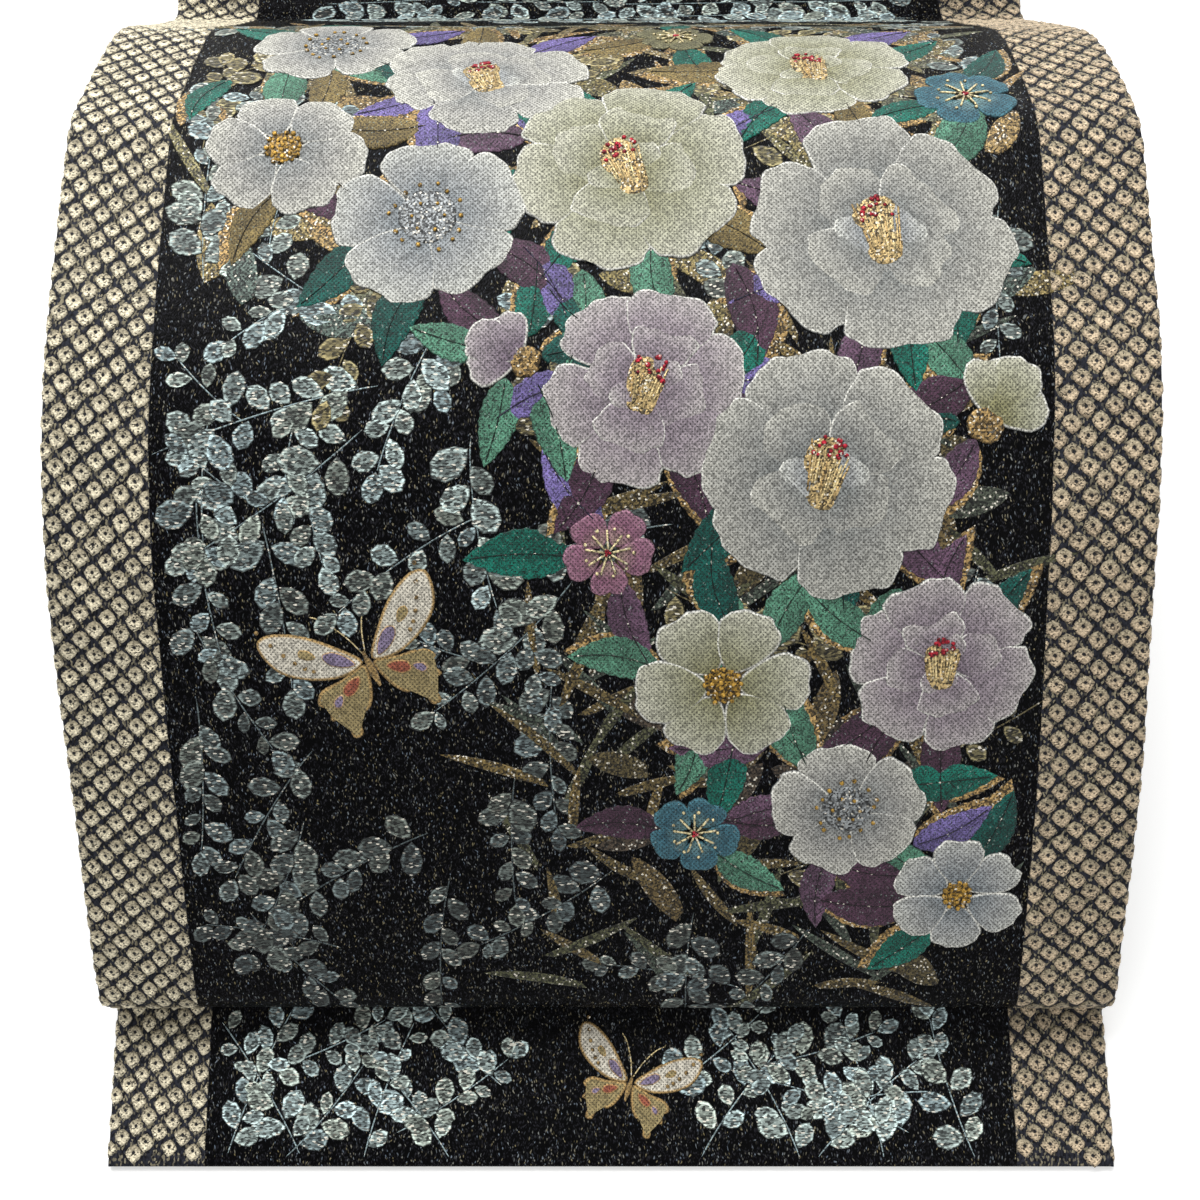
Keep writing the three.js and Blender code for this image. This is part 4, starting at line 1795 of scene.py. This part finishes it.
    def build(self) -> list[bpy.types.Object]:
        """Lays everything on the cloth.

        Returns:
            The finished pieces.
        """
        made = [
            self.petals.lay(self.walk, "woven_petals", SILK),
            self.leaves.lay(self.walk, "woven_leaves", LEAF_SILK),
            self.gilt.lay(self.walk, "gilt_weft", GILT),
            self.lines.lay(self.walk, "woven_lines", THREAD),
            self.wings.lay(self.walk, "butterfly_wings", SILK),
        ]
        repeats = (
            (Repeat("stamen_threads", rod_shape(), THREAD, 0.04, 0.04), self.threads),
            (Repeat("knots", knot_shape(), THREAD, 0.06, 0.4), self.knots),
            (Repeat("pewter_sprigs", sprig_shape(), PEWTER_WEFT, 0.05, 0.08), self.sprigs),
        )
        return made + [repeat.weave(self.walk, spots) for repeat, spots in repeats]


def ringed_shape(
    outline: Sequence[Point], rings: Sequence[tuple[float, float, float]], cap: float
) -> FlatMesh:
    """A small closed shape from one outline drawn in towards its middle.

    Args:
        outline: anticlockwise points.
        rings: share of the outline's size, lift in mm and tone of each ring, from the hidden one in.
        cap: tone of the face that closes the top.

    Returns:
        The shape, in greys that a copy's own dye is multiplied with: an outline pattern for the sprigs,
        painted highlight and shade for the knots and threads.
    """
    flat = FlatMesh()
    numbers = [
        flat.add([(x * share, y * share, lift) for x, y in outline], [(tone, tone, tone)] * len(outline))
        for share, lift, tone in rings
    ]
    count = len(outline)
    for outer, inner in zip(numbers, numbers[1:]):
        flat.join(outer, inner)
    middle = flat.add([(0.0, 0.0, rings[-1][1])], [(cap, cap, cap)])[0]
    flat.faces.extend((numbers[-1][i], numbers[-1][(i + 1) % count], middle) for i in range(count))
    flat.faces.append(tuple(reversed(numbers[0])))
    return flat


def sprig_shape() -> FlatMesh:
    """A small leaf one mm long and wide: a bright rim round a dim middle."""
    outline = [(0.0, -0.5), (0.3, -0.3), (0.48, 0.02), (0.36, 0.32), (0.0, 0.5)]
    outline += [(-x, y) for x, y in outline[-2:0:-1]]
    rings = ((1.0, -0.3, 0.05), (0.99, 0.04, 0.08), (0.85, 0.1, 1.45), (0.6, 0.1, 0.4))
    return ringed_shape(outline, rings, 0.7)


def knot_shape() -> FlatMesh:
    """A round knot one mm wide; its greys paint a highlight on its crown and shade round its sides."""
    outline = [(math.cos(math.pi * i / 4) / 2, math.sin(math.pi * i / 4) / 2) for i in range(8)]
    return ringed_shape(outline, ((1.0, -0.3, 0.4), (1.0, 0.05, 0.6), (0.7, 0.25, 1.0)), 1.3)


def rod_shape() -> FlatMesh:
    """A thread one mm long and wide, rounded across; its greys paint a highlight along its crown and shade
    along its sides.
    """
    half = [(0.5, -0.5), (0.5, 0.0), (0.5, 0.5), (0.0, 0.52)]
    outline = half + [(-x, -y) for x, y in half]
    return ringed_shape(outline, ((1.0, -0.25, 0.5), (0.92, 0.1, 0.8), (0.5, 0.24, 1.15)), 1.25)


# ------------------------------------------------------------------ where everything grows

BASE = 248.0  # along where the drum's visible face begins
CAMELLIA, OPEN, SINGLE, BUD, PLUM = FlowerKind
FLOWERS = (
    Flower(OPEN, -84, BASE + 322, 52, 10, Tone.IVORY, 0.86),
    Flower(CAMELLIA, -36, BASE + 300, 64, -12, Tone.IVORY, 0.88),
    Flower(SINGLE, -92, BASE + 268, 48, 0, Tone.IVORY, 0.92),
    Flower(CAMELLIA, 62, BASE + 306, 62, 14, Tone.CREAM, 0.86),
    Flower(OPEN, -50, BASE + 246, 56, 25, Tone.SILVER, 0.95),
    Flower(CAMELLIA, 6, BASE + 262, 68, 8, Tone.CREAM, 0.92, 0.62),
    Flower(CAMELLIA, 78, BASE + 242, 76, -16, Tone.PEARL, 0.95, 0.56),
    Flower(CAMELLIA, 12, BASE + 196, 60, 20, Tone.MAUVE, 0.95),
    Flower(CAMELLIA, 62, BASE + 172, 72, -6, Tone.PEARL, 0.95, 0.68),
    Flower(CAMELLIA, 96, BASE + 118, 54, 24, Tone.MAUVE, 0.95),
    Flower(SINGLE, 34, BASE + 112, 50, 14, Tone.CREAM, 0.92),
    Flower(OPEN, 70, BASE + 74, 48, -20, Tone.IVORY, 0.9),
    Flower(SINGLE, 104, BASE + 46, 40, 8, Tone.SILVER, 0.9),
    Flower(BUD, -24, BASE + 204, 26, 62, Tone.MAUVE),
    Flower(BUD, 108, BASE + 188, 30, -34, Tone.CREAM),
    Flower(PLUM, 106, BASE + 290, 32, 12, Tone.BLUE, leaves=3),
    Flower(PLUM, 22, BASE + 330, 26, -8, Tone.MOSS, leaves=3),
    Flower(PLUM, 2, BASE + 150, 28, 20, Tone.ROSE, leaves=3),
    Flower(PLUM, 26, BASE + 66, 28, -14, Tone.BLUE, leaves=3),
)
TEAL, JADE, MINT, VIOLET, PLUM_DYE, WINE = "#0c6152", "#084a42", "#4e7e67", "#6b5f94", "#5c4357", "#452c3d"
HIGH_DYES = (TEAL, JADE, MINT, TEAL, VIOLET, "#75653c")
MIDDLE_DYES = (TEAL, PLUM_DYE, VIOLET, MINT, WINE, JADE, PLUM_DYE)
LOW_DYES = (MINT, TEAL, WINE, JADE, MINT, PLUM_DYE)
# across and along of the foot, length, width, turn, dye: leaves that stand alone
LEAVES = (
    (-112, 300, 24, 10, 160, TEAL), (-22, 272, 30, 13, 96, PLUM_DYE), (-26, 250, 32, 13, 128, TEAL),
    (-6, 230, 30, 13, 172, MINT), (36, 232, 32, 14, -168, WINE), (44, 214, 30, 13, 140, TEAL),
    (-10, 214, 28, 12, 30, VIOLET), (98, 206, 30, 13, 12, TEAL), (38, 138, 32, 14, 168, MINT),
    (84, 140, 28, 12, 150, MINT), (48, 96, 30, 13, 96, PLUM_DYE), (90, 62, 26, 11, -60, VIOLET),
)
# across and along of the foot, length, turn, bend, leaf size, light. light is the yarn's brightness with
# painted light and shade in it: low on the drum's lower face, highest near the crown
SPRAYS = (
    (-64, 212, 60, 64, -10, 9.6, 1.2), (-62, 196, 64, 98, 10, 9.4, 1.15),
    (-46, 212, 42, 150, 6, 9.0, 1.1), (-66, 184, 58, 134, -8, 9.4, 1.0),
    (-36, 182, 47, 176, 10, 9.2, 1.05), (-108, 190, 40, 168, 6, 9.0, 0.9),
    (-34, 160, 47, 112, 10, 9.0, 0.85), (-8, 142, 54, 144, -10, 8.8, 0.65),
    (-14, 116, 47, 170, 8, 8.4, 0.45), (-116, 108, 47, -176, -6, 8.4, 0.5),
    (-84, 92, 47, 138, 8, 8.6, 0.46), (-88, 70, 47, 166, -8, 8.4, 0.4), (-52, 66, 47, 112, 6, 8.2, 0.36),
    (-46, 52, 44, 164, 8, 8.0, 0.32), (-106, 40, 38, -150, 6, 7.8, 0.34),
    (2, 54, 46, 132, -8, 8.0, 0.34), (26, 40, 44, 168, 8, 8.0, 0.34), (60, 34, 40, 150, -6, 7.8, 0.38),
    (-80, 28, 40, 70, 6, 7.8, 0.32), (-112, 226, 47, 8, -6, 8.8, 0.9), (-104, 258, 40, 22, 6, 8.6, 0.8),
    (-60, 272, 46, 60, 8, 8.8, 0.9), (-10, 226, 47, 120, 8, 8.8, 0.8), (-24, 340, 47, 64, 8, 8.8, 0.95),
    (40, 214, 46, 20, 6, 8.8, 0.7), (92, 350, 47, -40, 6, 8.8, 0.95), (70, 340, 47, 50, 6, 8.8, 0.9),
    (-100, 340, 47, 84, 6, 8.8, 0.9), (110, 300, 46, 10, 6, 8.8, 0.8), (112, 250, 46, 170, 6, 8.6, 0.75),
    (20, 158, 44, 96, 6, 8.4, 0.55), (106, 150, 44, 172, -6, 8.4, 0.55), (40, 14, 40, 70, 6, 7.8, 0.45),
    (-112, 166, 47, 178, 6, 9.0, 0.8), (-94, 158, 47, -166, -6, 9.0, 0.65),
    (-116, 132, 44, -160, 6, 8.8, 0.5), (-26, 84, 40, 170, 6, 8.4, 0.36),
)
# across and along of the foot, length, turn, bend, leaf size, light: on the flat end, where the painted
# light is brighter
END_SPRAYS = (
    (-118, 4, 47, -16, -6, 8.2, 1.5), (-100, 3, 42, -50, 8, 8.0, 1.4), (-96, 4, 46, 26, 6, 8.0, 1.6),
    (-76, 3, 42, -12, -6, 8.0, 1.5), (-66, 10, 40, -66, 6, 7.8, 1.3), (-50, 3, 42, 32, 6, 7.8, 1.5),
    (-34, 24, 36, 52, -6, 7.6, 1.2), (16, 22, 38, -62, 6, 7.8, 1.6), (28, 3, 42, -28, -8, 8.0, 1.4),
    (58, 3, 42, 18, 8, 8.2, 1.6), (64, 3, 42, -40, -6, 8.2, 1.5), (84, 3, 42, 8, 6, 8.2, 1.6),
    (92, 10, 44, 60, 8, 8.0, 1.5), (112, 3, 42, 24, -6, 8.2, 1.6), (100, 22, 38, 88, 6, 8.0, 1.5),
    (-108, 28, 40, -76, 6, 8.0, 1.5), (46, 30, 38, -84, 6, 7.8, 1.3),
)
# The same, at the foot of the drum's back, with brighter painted light
FOOT_SPRAYS = (
    (-112, 2, 47, -88, 1, 9.0, 1.7), (-70, 5, 47, -92, -1, 9.0, 1.6), (-28, 3, 47, -89, 1, 9.0, 1.6),
    (12, 6, 47, -88, 1, 9.0, 1.7), (56, 3, 47, -91, -1, 9.0, 1.6), (114, 5, 44, 89, 1, 9.0, 1.7),
    (-90, -8, 47, -84, 3, 9.0, 1.5), (-40, -10, 47, -95, 2, 9.0, 1.5), (14, -9, 47, -86, 2, 9.0, 1.5),
    (60, -8, 44, -92, 2, 9.0, 1.5), (-100, 14, 47, -88, 1, 9.0, 1.5), (-46, 15, 47, -91, 1, 9.0, 1.5),
    (8, 14, 47, -90, 1, 9.0, 1.5), (62, 15, 44, -90, 1, 9.0, 1.5),
)
# The same as SPRAYS, in dull gold between the upper flowers; their painted light falls off steadily down
# the drum
GOLD_SPRAYS = (
    (-116, 262, 46, -8, 6, 9.6, 0.95), (-62, 300, 46, -70, 6, 9.6, 1.0),
    (-118, 300, 44, -60, 6, 9.4, 1.0), (-70, 340, 46, -96, 4, 9.4, 1.0),
    (-14, 300, 44, -40, 6, 9.4, 1.0), (20, 296, 46, -80, 6, 9.4, 1.0), (34, 336, 46, -100, 5, 9.4, 1.0),
    (-60, 232, 42, 150, 6, 9.2, 0.8), (40, 268, 44, -66, 6, 9.2, 0.9), (112, 280, 44, 60, 6, 9.4, 1.0),
    (-20, 238, 44, -150, 6, 9.2, 0.85), (104, 214, 42, 40, 6, 9.0, 0.8),
    (-30, 186, 40, -60, 6, 9.0, 0.7), (18, 140, 44, -120, 6, 9.0, 0.7), (112, 96, 44, 40, 6, 8.8, 0.65),
    (44, 132, 42, -100, 6, 8.8, 0.65), (90, 88, 40, -70, 6, 8.8, 0.6), (50, 52, 42, -70, 6, 8.6, 0.55),
)


@dataclass(frozen=True)
class Grass:
    """A bed of scattered blades: how many, where they stand and how they differ, mm and degrees."""

    count: int
    across: Point
    along: Point
    dyes: tuple[str, ...]
    wide: Point
    long: Point
    swing: float
    bend: float

    def grow(self, garden: Garden, chance: random.Random) -> None:
        """Adds the blades. A width that can't differ takes no random draw."""
        for _ in range(self.count):
            x, along = chance.uniform(*self.across), BASE + chance.uniform(*self.along)
            dye = chance.choice(self.dyes)
            wide = self.wide[0] if self.wide[0] == self.wide[1] else chance.uniform(*self.wide)
            long = chance.uniform(*self.long)
            turn = chance.uniform(-self.swing, self.swing)
            garden.blade(x, along, long, turn, chance.uniform(-self.bend, self.bend), dye, wide)


HIGH_GRASS = ("#a98a58", "#7c7550", "#66694e", "#94835a")
HIGH_BROAD = ("#8f7f52", "#a48a5a", "#6f7058", "#5c6a62", "#80744a")
LOW_BROAD = ("#5e5438", "#6d5d3c", "#4c5246", "#51463a")
LOW_GRASS = ("#6a5c3a", "#57583f", "#4b554a", "#7a683f")
GRASSES = (
    Grass(160, (-112, 112), (236, 372), HIGH_GRASS, (3.6, 3.6), (20, 34), 75, 6),
    Grass(95, (-112, 112), (205, 368), HIGH_BROAD, (7.5, 11), (16, 26), 120, 4),
    Grass(34, (0, 110), (20, 200), LOW_BROAD, (7.5, 10.5), (16, 26), 120, 4),
    Grass(120, (-20, 112), (4, 215), LOW_GRASS, (3.4, 3.4), (20, 34), 80, 5),
)
HIGH_FROM, MIDDLE_FROM = 255, 130  # heights above BASE where the flowers' leaves change their dyes


def plant(walk: ClothWalk) -> list[bpy.types.Object]:
    """Grows the whole design on the cloth.

    Args:
        walk: the cloth's path.

    Returns:
        The finished pieces.
    """
    garden = Garden(walk)
    chance = random.Random(SEED + 7)
    # Each bed's strength scales its sprays' light factor, painted light and shade included.
    beds = (
        (SPRAYS, BASE, 1.0, PEWTER),
        (GOLD_SPRAYS, BASE, 1.0, OLIVE),
        (END_SPRAYS, 0.0, 0.88, PEWTER),
        (FOOT_SPRAYS, walk.span("foot")[0], 0.8, PEWTER),
    )
    for rows, start, strength, yarn in beds:
        for x, along, *stem, light in rows:
            garden.spray(x, start + along, *stem, light * strength, yarn)
    for grass in GRASSES:
        grass.grow(garden, chance)
    for index, (x, along, long, wide, turn, dye) in enumerate(LEAVES):
        garden.leaf(x, BASE + along, long, wide, turn, dye, 0.1 + 0.015 * (index % 7))
    for flower in FLOWERS:
        high = flower.along - BASE
        low = MIDDLE_DYES if high > MIDDLE_FROM else LOW_DYES
        garden.wreath(flower, HIGH_DYES if high > HIGH_FROM else low)
        garden.flower(flower)
    garden.butterfly(-66, BASE + 118, 27, 24)
    garden.butterfly(6, 24, 20, -18)
    return garden.build()


# ------------------------------------------------------------------ camera, light and table


@dataclass(frozen=True)
class Camera:
    """The camera above the table, leaning a little away from its own side. Sizes in mm."""

    across: float = -1.45
    along: float = -313.0
    height: float = 491.0
    lean: float = 13.0
    lens: float = 45.0

    def build(self) -> bpy.types.Object:
        """Makes the camera and sets it as the scene's own."""
        data = bpy.data.cameras.new("camera")
        data.lens = self.lens
        data.sensor_width = 36.0
        data.clip_start = 0.01
        made = linked("camera", data)
        made.location = (self.across * MM, self.along * MM, self.height * MM)
        made.rotation_euler = (math.radians(self.lean), 0.0, 0.0)
        bpy.context.scene.camera = made
        return made


@dataclass(frozen=True)
class Lamp:
    """One soft box: where it stands and what it looks at, metres, its size and power."""

    name: str
    place: tuple[float, float, float]
    aim: tuple[float, float, float]
    size: tuple[float, float]
    power: float
    colour: str = "#ffffff"

    def build(self) -> bpy.types.Object:
        """Makes the lamp."""
        data = bpy.data.lights.new(self.name, "AREA")
        data.shape = "RECTANGLE"
        data.size, data.size_y = self.size
        data.energy = self.power
        data.color = dyed(self.colour)
        made = linked(self.name, data)
        made.location = self.place
        made.rotation_euler = (Vector(self.aim) - Vector(self.place)).to_track_quat("-Z", "Y").to_euler()
        return made


@dataclass(frozen=True)
class Paper(Finish):
    """White matt paper on a softly lit table: a plain pale ground whose shadows stay light."""

    base: str = "#fbfbfa"
    glow: float = 0.28

    def weave(self, tree: bpy.types.NodeTree, shader: Any, cloth: Any) -> None:
        """One plain colour."""
        shader.inputs["Base Color"].default_value = linear(self.base)
        shader.inputs["Roughness"].default_value = 0.9
        shader.inputs["Emission Color"].default_value = linear(self.base)
        shader.inputs["Emission Strength"].default_value = self.glow


@dataclass(frozen=True)
class Studio:
    """Pale table and soft light, the key from above and behind."""

    reach: float = 6.0
    ambient: float = 0.42
    lamps: tuple[Lamp, ...] = (
        Lamp("key", (-0.35, 1.0, 1.2), (0.0, 0.0, 0.05), (1.6, 1.0), 40.0),
        Lamp("fill", (0.9, -0.9, 1.2), (0.0, -0.1, 0.03), (1.0, 1.0), 5.0),
    )

    def build(self) -> None:
        """Makes the table, the world's light and the lamps."""
        half = self.reach / 2
        mesh = bpy.data.meshes.new("table")
        corners = [(-half, -half, 0.0), (half, -half, 0.0), (half, half, 0.0), (-half, half, 0.0)]
        mesh.from_pydata(corners, [], [(0, 1, 2, 3)])
        mesh.materials.append(Paper("white matt paper").build())
        linked("table", mesh)
        world = bpy.data.worlds.new("studio")
        world.use_nodes = True
        tree = world.node_tree
        tree.nodes.clear()
        light = node(tree, "ShaderNodeBackground", {"Color": linear("#ffffff"), "Strength": self.ambient})
        node(tree, "ShaderNodeOutputWorld", {"Surface": light.outputs[0]})
        bpy.context.scene.world = world
        for lamp in self.lamps:
            lamp.build()
        bpy.context.scene.view_settings.view_transform = "Standard"


# ------------------------------------------------------------------ main


def main() -> None:
    """Builds every piece."""
    logging.basicConfig(level=logging.INFO, format="%(name)s %(message)s")
    Camera().build()
    walk = ClothWalk()
    log.info("walked %.1f mm of cloth", walk.end)
    cloth = ClothShell().build(walk)
    pieces: list[bpy.types.Object] = []
    for band in (LEFT_BAND, RIGHT_BAND):
        pieces.append(band.build(walk))
    pieces += plant(walk)
    for piece in [cloth, *pieces]:
        log.info("%s: %d faces", piece.name, len(piece.data.polygons))
    Studio().build()


if __name__ == "__main__":
    main()
